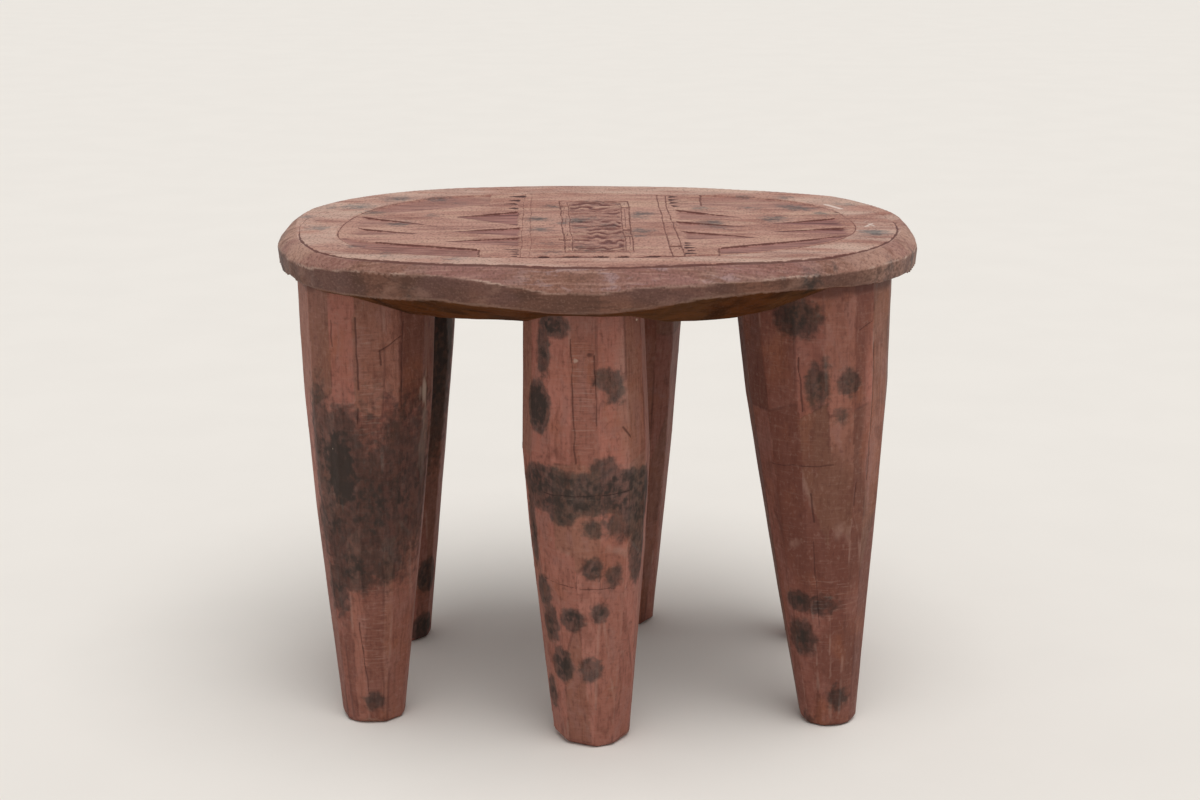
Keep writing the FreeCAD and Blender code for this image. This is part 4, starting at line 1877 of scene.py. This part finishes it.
FRONT_MIDDLE = HewnLeg(
    node="leg_front_middle",
    head=(-7.0, -86.0),
    foot=(-2.4, -87.0),
    radii=(19.4, 24.6, 29.6, 32.5, 29.8),
    levels=(0.0, 50.0, 110.0, 160.0, 247.0),
    strips=(-68.0, -45.0, -25.0, -1.0, 26.0, 58.0, 82.0, 108.0, 132.0, 158.0, 184.0, 208.0, 236.0, 262.0),
    low_strips=(-62.0, -22.0, 18.0, 54.0, 92.0, 132.0, 172.0, 214.0, 256.0),
    seed=23,
    bias=0.9,
    scorches=(
        Scorch(-30, 230, 8, 6, 0.95),
        Scorch(-42, 216, 4.5, 12, 0.85),
        Scorch(-49, 187, 8, 13, 1.05),
        Scorch(20, 203, 7.5, 6.5, 0.6),
        Scorch(29, 198, 5.5, 10, 0.62),
        Scorch(-42, 144.5, 21, 12.5, 0.86),
        Scorch(-2, 143.5, 23, 11.5, 0.84),
        Scorch(36, 144, 20, 12, 0.82),
        Scorch(64, 138, 13, 16, 0.85),
        Scorch(17, 158, 8, 5.5, 0.7),
        Scorch(-25, 133, 7.5, 7.5, 0.8),
        Scorch(60, 112, 8, 21, 0.75),
        Scorch(-70, 120, 4.5, 21, 0.8),
        Scorch(5, 125, 6.2, 5, 0.68),
        Scorch(42, 126, 15, 8, 0.74, 6),
        Scorch(4, 103, 5.2, 6, 0.8),
        Scorch(27, 98, 4.8, 7, 0.66),
        Scorch(-60, 86, 6.5, 9, 0.74),
        Scorch(-51, 69, 5.8, 11, 0.8),
        Scorch(-20, 74, 6.6, 6.2, 0.85),
        Scorch(11, 78, 4.4, 5.2, 0.82),
        Scorch(-38, 47, 6.6, 9, 0.9),
        Scorch(0, 46, 6.8, 7.4, 0.62),
        Scorch(-66, 28, 4.5, 8.5, 0.8),
        Scorch(180, 140, 24, 11, 0.75),
        Scorch(150, 80, 9, 9, 0.75),
    ),
    splits=(
        Split(-12.5, 224, -9.5, 160, 0.5, 0.4),
        Split(9.5, 216, 10.5, 180, 0.45, 0.3),
        Split(-54.0, 94, 30.0, 91, 0.32, 0.2),
        Split(36.0, 178, 44.0, 172, 0.6, 0.4),
        Split(-46.0, 142.0, 44.0, 143.5, 0.4, 0.4),
    ),
    chatters=(Chatter(-1.0, 13.0, 160, 228),),
    flecks=(
        Fleck(-7, 213, 1.7, 1.5, 0.48),
        Fleck(62, 230, 1.0, 0.8, 1.0),
        Fleck(5, 216, 2.0, 1.6, -0.6),
        Fleck(-8, 141.0, 24.0, 0.5, 0.34),
    ),
    glazes=(Glaze(-25, 172, 9, 14, -0.4), Glaze(48, 193, 10, 44, 1.1), Glaze(-15, 118, 12, 14, 0.2)),
)

FRONT_RIGHT = HewnLeg(
    node="leg_front_right",
    head=(111.6, -53.0),
    foot=(125.8, -66.0),
    radii=(14.8, 21.4, 28.9, 36.9, 41.4),
    strips=(
        -62.0, -32.0, -6.0, 14.0, 36.0, 58.0, 80.0, 106.0,
        130.0, 156.0, 182.0, 208.0, 234.0, 262.0, 276.0,
    ),
    low_strips=(-66.0, -28.0, 1.0, 32.0, 68.0, 104.0, 144.0, 186.0, 226.0, 262.0),
    seed=37,
    bias=-0.7,
    scorches=(
        Scorch(-17, 229, 11, 9, 1.0, 6),
        Scorch(-4, 194, 5.5, 10, 0.92, 4),
        Scorch(2, 205, 3.5, 5.5, 0.5),
        Scorch(22, 195, 5.5, 6.5, 0.82, 4),
        Scorch(15, 178, 5, 5.5, 0.42),
        Scorch(-37, 73, 7.5, 5.5, 0.9),
        Scorch(-8, 72, 9, 5.5, 0.68, 5),
        Scorch(-39, 52, 7.5, 9, 0.95, 5),
        Scorch(16, 18, 7.6, 7.6, 0.6, 5),
        Scorch(-46, 4, 4.5, 4.5, 0.4),
        Scorch(160, 120, 12, 14, 0.7),
        Scorch(110, 180, 8, 9, 0.7),
    ),
    splits=(
        Split(-17.5, 208, -17.0, 180, 0.6, 0.5),
        Split(46.0, 214, 45.0, 140, 0.5, 0.3),
        Split(31.0, 140, 29.0, 128, 0.6, 0.3),
        Split(-53.0, 149, 8.0, 151, 0.4, 0.2),
        Split(-14.0, 108, -12.0, 60, 0.5, 0.3),
        Split(-14.0, 135, -11.0, 119, 0.8, 0.4),
        Split(30.0, 222, 44.0, 226, 0.5, 0.3),
    ),
    chatters=(Chatter(4.0, 20.0, 60, 90),),
    glazes=(
        Glaze(-3, 118, 24, 44, -1.4),
        Glaze(4, 178, 13, 20, 0.4),
        Glaze(54, 180, 12, 60, 2.0),
        Glaze(16, 42, 14, 20, -0.7),
    ),
)

BACK_LEFT = HewnLeg(
    node="leg_back_left",
    head=(-117.0, 45.0),
    foot=(-117.0, 55.0),
    radii=(16.5, 21.5, 27.6, 34.8, 36.4),
    strips=(-80.0, -52.0, -28.0, -4.0, 22.0, 48.0, 74.0, 100.0, 126.0, 150.0, 176.0, 204.0, 228.0, 254.0),
    low_strips=(-74.0, -32.0, 10.0, 50.0, 90.0, 128.0, 170.0, 210.0, 250.0),
    seed=41,
    scorches=(
        # Painted shade: this wide soft patch darkens the leg's upper front, where the seat and the front
        # legs shade it; it is drawn as a scorch.
        Scorch(46, 200, 20, 80, 0.9, 9),
        Scorch(55, 42, 9, 11, 0.8),
        Scorch(52, 8, 9, 9, 0.9),
        Scorch(172, 150, 15, 22, 0.75),
        Scorch(-160, 95, 9, 10, 0.75),
        Scorch(140, 60, 8, 8, 0.75),
    ),
    splits=(Split(160.0, 220, 162.0, 170, 0.7, 0.5),),
    chatters=(Chatter(176.0, 13.0, 120, 210),),
)

BACK_MIDDLE = HewnLeg(
    node="leg_back_middle",
    head=(16.0, 79.0),
    foot=(16.0, 82.0),
    radii=(18.5, 23.0, 28.0, 33.0, 33.5),
    levels=(0.0, 50.0, 110.0, 185.0, 247.0),
    strips=(-84.0, -58.0, -30.0, -4.0, 20.0, 46.0, 70.0, 96.0, 124.0, 150.0, 174.0, 200.0, 226.0, 250.0),
    low_strips=(-70.0, -30.0, 12.0, 54.0, 92.0, 130.0, 172.0, 214.0, 254.0),
    seed=53,
    scorches=(
        Scorch(182, 128, 20, 12, 0.8),
        Scorch(200, 62, 9, 9, 0.78),
        Scorch(152, 195, 8, 11, 0.75),
        Scorch(168, 30, 8, 8, 0.75),
        Scorch(230, 170, 9, 14, 0.75),
    ),
    splits=(Split(186.0, 224, 184.0, 176, 0.7, 0.5),),
    chatters=(Chatter(174.0, 12.0, 150, 226),),
)

BACK_RIGHT = HewnLeg(
    node="leg_back_right",
    head=(119.0, 43.0),
    foot=(129.0, 53.0),
    radii=(15.0, 20.8, 27.0, 33.0, 35.0),
    strips=(-82.0, -56.0, -30.0, -6.0, 18.0, 42.0, 68.0, 94.0, 120.0, 146.0, 170.0, 196.0, 222.0, 250.0),
    low_strips=(-72.0, -30.0, 8.0, 48.0, 88.0, 128.0, 168.0, 208.0, 248.0),
    seed=67,
    scorches=(
        Scorch(170, 165, 11, 15, 0.78),
        Scorch(140, 72, 9, 9, 0.75),
        Scorch(200, 40, 8, 8, 0.75),
        Scorch(110, 120, 9, 16, 0.7),
    ),
    splits=(Split(146.0, 210, 148.0, 150, 0.7, 0.5),),
    chatters=(Chatter(196.0, 13.0, 110, 200),),
)

LEGS = (FRONT_LEFT, FRONT_MIDDLE, FRONT_RIGHT, BACK_LEFT, BACK_MIDDLE, BACK_RIGHT)


def notch(x: float, y: float, reach: float, half: float = 3.2) -> Chip:
    """Set out one short notch beside a bar.

    Args:
        x: Where the notch starts, at the bar.
        y: How far back it lies.
        reach: How far it runs, with its sign.
        half: Half its width at the bar.

    Returns:
        The notch.
    """
    return Chip((x, y + half), (x, y - half), (x + 1.2 * reach, y), 1.0, 1.0, 0.9)


SEAT = CarvedSeat(
    node="seat",
    half_width=173.5,
    half_depth=131.0,
    top=261.0,
    bottom=232.0,
    stations=(
        RimStation(0, 0.0, 11.0, 33.7, 8.5, 8.0, 18.5),
        RimStation(8, 0.3, 11.5, 34.5, 4.6, 4.4, 18.5),
        RimStation(17, 1.0, 12.5, 32.2, 3.6, 3.4, 18.0),
        RimStation(33, 4.2, 15.0, 32.4, 3.2, 3.0, 17.0),
        RimStation(45, -1.0, 14.0, 28.8, 4.5, 4.0, 17.0),
        RimStation(52, -2.5, 14.0, 27.9, 4.5, 4.0, 17.0),
        RimStation(68, -0.5, 14.0, 33.0, 4.5, 4.0, 17.0),
        RimStation(90, 0.0, 14.0, 30.4, 5.0, 4.5, 17.0),
        RimStation(118, 2.0, 15.0, 32.8, 4.0, 3.5, 17.0),
        RimStation(135, 4.0, 15.0, 32.4, 4.0, 3.5, 17.0),
        RimStation(150, 2.5, 14.0, 34.8, 3.0, 3.0, 17.0),
        RimStation(163, 1.0, 13.5, 37.0, 3.4, 3.4, 17.0),
        RimStation(172, 0.0, 13.0, 37.0, 6.5, 6.0, 18.0),
        RimStation(180, 0.0, 13.0, 36.6, 9.5, 8.0, 18.0),
        RimStation(187, 0.3, 13.0, 34.4, 11.5, 8.0, 18.0),
        RimStation(194, 0.8, 10.8, 31.2, 10.0, 7.5, 18.0),
        RimStation(202, 2.5, 8.9, 28.9, 8.0, 7.6, 17.5),
        RimStation(209, 3.6, 6.8, 27.0, 6.0, 8.0, 18.6),
        RimStation(214, 3.6, 6.0, 28.6, 5.2, 6.6, 18.6),
        RimStation(218, 3.2, 6.8, 29.6, 6.0, 5.6, 18.4),
        RimStation(224, 2.4, 8.7, 30.1, 7.8, 4.6, 17.8),
        RimStation(229, 1.8, 10.5, 30.7, 9.6, 4.3, 17.4),
        RimStation(238, 1.0, 12.8, 32.2, 11.8, 4.2, 17.0),
        RimStation(247, 0.0, 13.4, 33.0, 12.5, 6.2, 18.8),
        RimStation(260, 0.0, 11.0, 35.4, 10.0, 11.0, 21.6),
        RimStation(271, 0.0, 10.8, 35.0, 9.8, 10.8, 22.0),
        RimStation(284, 0.0, 13.2, 34.7, 12.2, 7.8, 18.4),
        RimStation(292, 0.0, 14.0, 35.1, 13.0, 7.4, 15.1),
        RimStation(302, 0.0, 13.8, 34.6, 12.8, 6.8, 13.3),
        RimStation(311, 0.4, 11.4, 36.0, 10.4, 6.1, 12.7),
        RimStation(320, 1.2, 10.0, 38.3, 9.0, 6.7, 14.6),
        RimStation(330, 2.0, 10.6, 37.6, 9.6, 6.6, 16.8),
        RimStation(347, 1.2, 11.8, 34.0, 10.8, 7.6, 18.2),
    ),
    chips=(
        Chip((-44.4, 37.0), (-42.3, -8.0), (-78.4, 19.0), 1.0),
        Chip((-41.7, -12.0), (-40.9, -39.1), (-78.0, -25.7), 1.0, 0.95),
        Chip((-40.6, -42.0), (-40.2, -65.3), (-80.0, -54.6), 1.0, 0.8),
        Chip((43.4, 43.0), (43.4, 9.0), (79.5, 17.8), 0.9, 0.5, 0.0, 3.0),
        Chip((42.8, 6.4), (44.6, -20.0), (81.6, -11.5), 0.9, 0.5, 0.0, 3.0),
        Chip((45.0, -23.6), (45.4, -48.0), (85.4, -42.8), 0.9, 0.55, 0.0, 3.0),
        Chip((-131.0, 20.6), (-134.0, -4.0), (-92.3, -5.2), 0.9, 0.45, 0.0, 6.0),
        Chip((-129.5, -15.0), (-132.6, -36.0), (-94.0, -31.4), 0.9, 0.45, 0.0, 6.0),
        Chip((133.0, 16.4), (136.2, -9.6), (95.0, -1.6), 0.9, 1.0, 0.0, 4.0),
        Chip((135.4, -12.6), (134.0, -32.6), (92.5, -25.6), 0.9, 1.0, 0.0, 4.0),
        notch(-42.8, 87.0, -8.0, 4.2),
        notch(-45.0, 73.0, -6.0),
        notch(-45.4, 62.0, -6.5),
        notch(-45.0, 47.0, -4.5),
        notch(-39.9, -75.5, -6.6, 1.4),
        notch(-39.4, -81.4, -5.4, 1.4),
        notch(-39.2, -87.0, -5.6, 1.4),
        notch(-39.2, -93.0, -4.6, 1.4),
        notch(41.2, 87.0, 5.4, 3.6),
        notch(41.6, 76.2, 4.6, 3.6),
        notch(41.5, 65.6, 4.2, 3.6),
        notch(42.0, 54.2, 5.2, 3.6),
        notch(44.6, -57.6, 3.8, 2.3),
        notch(45.2, -63.2, 4.0, 2.3),
        notch(44.9, -69.8, 5.0, 2.6),
        notch(44.9, -77.8, 5.0, 2.6),
        notch(45.0, -85.2, 5.4, 2.6),
    ),
    bands=(
        Band(
            ((-133.0, -42.9), (-120.0, -52.3), (-98.4, -60.8), (-77.0, -68.8), (-60.0, -74.3)),
            0.9,
            0.72,
            56.0,
        ),
        Band(((132.2, -34.8), (110.8, -47.5), (83.9, -59.9), (62.0, -70.6)), 0.9, 0.85, 64.0),
        Band(((-131.0, 28.0), (-110.0, 33.0), (-80.9, 50.7), (-62.0, 62.0)), 0.8, 0.5, 0.0),
        Band(((130.0, 42.0), (59.5, 57.0)), 0.8, 0.35, 0.0),
    ),
    strips=(
        Strip(
            ((-42.8, 95.6), (-41.3, 23.3), (-39.7, -37.2), (-37.9, -95.1)),
            ((-38.8, 95.6), (-36.5, 2.4), (-34.4, -48.6), (-33.5, -95.1)),
            0.36,
        ),
        Strip(
            ((34.7, 93.2), (35.3, 44.9), (36.3, -9.8), (37.3, -63.3), (38.0, -93.4)),
            ((39.6, 94.0), (39.5, 44.0), (42.3, -26.2), (44.1, -90.0)),
            0.85,
        ),
    ),
    border=((-21.9, 72.1), (17.7, 72.1), (18.8, -79.5), (-15.7, -79.5)),
    panel=((-17.2, 69.8), (13.1, 67.5), (15.0, -75.9), (-12.1, -75.9)),
    ticks=(
        ((-19.6, -47.0), (-14.5, -47.0)),
        ((14.0, -20.0), (18.2, -20.0)),
        ((14.2, -37.0), (18.4, -37.0)),
        ((13.2, 52.0), (17.8, 52.0)),
        ((-20.6, 56.0), (-16.4, 56.0)),
        ((37.6, -66.0), (43.2, -66.0)),
        ((-60.0, -74.3), (-59.2, -92.0)),
        ((62.0, -70.6), (61.6, -90.0)),
        ((60.5, 94.3), (59.2, 57.0)),
    ),
    nicks=((-26.2, 3.6), (-13.0, 5.2), (1.9, 5.0), (13.3, 3.6), (28.0, 5.2)),
    spots=(
        Spot(-116, 79, 10.1, 0.43),
        Spot(-136.6, 54, 10.1, 0.43),
        Spot(-151.7, 52.5, 5.5, 0.36),
        Spot(-160, 19, 5.5, 0.4),
        Spot(-150, -14.6, 7.4, 0.43),
        Spot(-125.5, 36, 8.3, 0.43),
        Spot(-92, 81, 7.4, 0.5),
        Spot(-107.6, -1.7, 6.4, 0.58),
        Spot(-90.8, 25.4, 6.4, 0.36),
        Spot(-124, -66, 6.4, 0.36),
        Spot(-105.4, -86.5, 7.4, 0.36),
        Spot(-69.7, -96.8, 6.4, 0.36),
        Spot(-79.5, 67.5, 5.5, 0.36),
        Spot(-32.4, 12.7, 6.0, 0.65),
        Spot(-31, -17.8, 6.0, 0.58),
        Spot(-25.2, 53.8, 5.5, 0.5),
        Spot(-25.4, -59.7, 5.1, 0.43),
        Spot(-24, -82, 6.4, 0.36),
        Spot(25.5, 29.7, 6.4, 0.58),
        Spot(23.8, 19.9, 5.5, 0.5),
        Spot(23.7, -21.7, 6.4, 0.58),
        Spot(22, -37, 5.1, 0.5),
        Spot(-18, 0.3, 4.6, 0.5),
        Spot(-11, 10.6, 7.4, 0.58),
        Spot(-5, 16.9, 6.4, 0.5),
        Spot(-7.8, -11.8, 4.6, 0.43),
        Spot(4.5, -5.8, 6.4, 0.43),
        Spot(-8, -65, 5.1, 0.43),
        Spot(-1.8, -75.9, 5.5, 0.43),
        Spot(13, 63, 3.7, 0.43),
        Spot(14.2, -37, 3.7, 0.43),
        Spot(-1.6, 69.8, 6.4, 0.43),
        Spot(84.4, 86.6, 6.4, 0.43),
        Spot(109.5, 84.2, 7.4, 0.43),
        Spot(109, 56.8, 9.2, 0.5),
        Spot(114, 48.5, 9.2, 0.54),
        Spot(126, 29.6, 6.4, 0.5),
        Spot(97.8, 13.8, 9.2, 0.5),
        Spot(87, 48.5, 6.0, 0.47),
        Spot(63.2, 1, 8.3, 0.43),
        Spot(59.2, 48.5, 8.3, 0.43),
        Spot(147.2, -27.2, 7.8, 0.65),
        Spot(141.5, 59.6, 6.4, 0.43),
        Spot(66, -11.6, 8.3, 0.36),
        Spot(105, -108, 4.5, 0.75, 10.0),
        Spot(103, -107, 4.0, 0.6, 14.0),
        Spot(90, -116, 3.0, 0.3, 6.0),
        Spot(118, -100, 3.5, 0.4, 4.0),
        Spot(-90, -113, 6.0, 0.4, 14.0),
        # Painted shade: these two dark spots on the left end's side stand in for the shade there, drawn as
        # scorched spots.
        Spot(-172, -14, 11.0, 0.5, 13.0),
        Spot(-164, -44, 8.0, 0.44, 15.0),
        Spot(166, -46, 4.0, 0.6, 12.0),
        Spot(150, -74, 5.0, 0.4, 8.0),
    ),
    scratches=(
        Scratch((131.0, 60.5), (138.0, 45.8), 1.7, 1.0),
        Scratch((145.0, -10.6), (149.4, -0.5), 1.1, 0.9),
        Scratch((150.5, -9.0), (148.0, -2.0), 0.8, 0.8),
        Scratch((139.0, -22.0), (141.5, -21.0), 1.0, 0.7),
        Scratch((146.5, 4.0), (148.0, 9.0), 0.7, 0.6),
        Scratch((-153.7, 8.6), (-153.3, 8.6), 1.1, -1.0),
        Scratch((133.8, 33.3), (134.4, 33.3), 1.4, -1.0),
    ),
)


@dataclass(frozen=True)
class Studio:
    """The pale floor, the soft light and the camera."""

    floor_size: float = 60.0
    floor_colour: Colour = tint(236, 231, 224)
    floor_shade: float = 0.985
    floor_blotch: float = 90.0
    floor_rough: float = 0.9
    floor_shine: float = 0.1
    sky_strength: float = 0.50
    sun_strength: float = 1.7
    sun_angle: float = 50.0
    sun_from: tuple[float, float, float] = (0.15, -0.25, 1.0)
    eye: tuple[float, float, float] = (1.6, -1076.0, 455.4)
    pitch: float = 15.3
    focal_pixels: float = 2000.0
    frame_pixels: float = 1200.0
    sensor: float = 36.0

    def lay_floor(self) -> bpy.types.Object:
        """Lay a wide pale floor.

        Returns:
            The floor.
        """
        Workbench.clear_selection()
        bpy.ops.mesh.primitive_plane_add(size=self.floor_size, location=(0.0, 0.0, 0.0))
        floor = bpy.context.object
        floor.name = floor.data.name = "pale_floor"
        bench = ShaderBench("floor_paint")
        mottle = bench.noise(bench.place, self.floor_blotch, 3.0)
        shade = tuple(c * self.floor_shade for c in self.floor_colour)
        colour = bench.stain(shade, self.floor_colour, mottle, 0.3, 0.7)
        bench.feed(bench.shader.inputs["Base Color"], colour)
        bench.shader.inputs["Roughness"].default_value = self.floor_rough
        bench.shader.inputs["Specular IOR Level"].default_value = self.floor_shine
        floor.data.materials.append(bench.material)
        return floor

    def light(self) -> None:
        """Set a soft sky, seen as a pale wall, and one broad soft lamp high above the front."""
        world = bpy.data.worlds.new("soft_sky")
        bpy.context.scene.world = world
        world.use_nodes = True
        tree = world.node_tree
        sky = tree.nodes["Background"]
        sky.inputs["Color"].default_value = (1.0, 1.0, 1.0, 1.0)
        sky.inputs["Strength"].default_value = self.sky_strength
        wall = tree.nodes.new("ShaderNodeBackground")
        wall.inputs["Color"].default_value = (*self.floor_colour, 1.0)
        choice = tree.nodes.new("ShaderNodeMixShader")
        seen = tree.nodes.new("ShaderNodeLightPath")
        tree.links.new(seen.outputs["Is Camera Ray"], choice.inputs[0])
        tree.links.new(sky.outputs[0], choice.inputs[1])
        tree.links.new(wall.outputs[0], choice.inputs[2])
        tree.links.new(choice.outputs[0], tree.nodes["World Output"].inputs["Surface"])
        Workbench.clear_selection()
        bpy.ops.object.light_add(type="SUN", location=self.sun_from)
        lamp = bpy.context.object
        lamp.name = "broad_lamp"
        lamp.data.angle = math.radians(self.sun_angle)
        lamp.data.energy = self.sun_strength
        lamp.rotation_euler = (-Vector(self.sun_from)).to_track_quat("-Z", "Y").to_euler()

    def set_camera(self) -> None:
        """Put the camera where the picture was taken from."""
        Workbench.clear_selection()
        place = tuple(value * MM for value in self.eye)
        bpy.ops.object.camera_add(location=place, rotation=(math.radians(90.0 - self.pitch), 0.0, 0.0))
        camera = bpy.context.object
        camera.name = "front_camera"
        camera.data.sensor_width = self.sensor
        camera.data.lens = self.focal_pixels / self.frame_pixels * self.sensor
        camera.data.dof.use_dof = False
        bpy.context.scene.camera = camera


def main() -> None:
    """Build the stool piece by piece, then the studio round it."""
    logging.basicConfig(level=logging.INFO, format="%(name)s: %(message)s")
    bpy.context.scene.view_settings.view_transform = "Standard"
    leg_wood = LegWood().make()
    for leg in LEGS:
        piece = leg.build(leg_wood)
        LOG.info("%s has %d faces", piece.name, len(piece.data.polygons))
    seat = SEAT.build(SeatWood().make())
    LOG.info("%s has %d faces", seat.name, len(seat.data.polygons))
    studio = Studio()
    studio.lay_floor()
    studio.light()
    studio.set_camera()


if __name__ == "__main__":
    main()
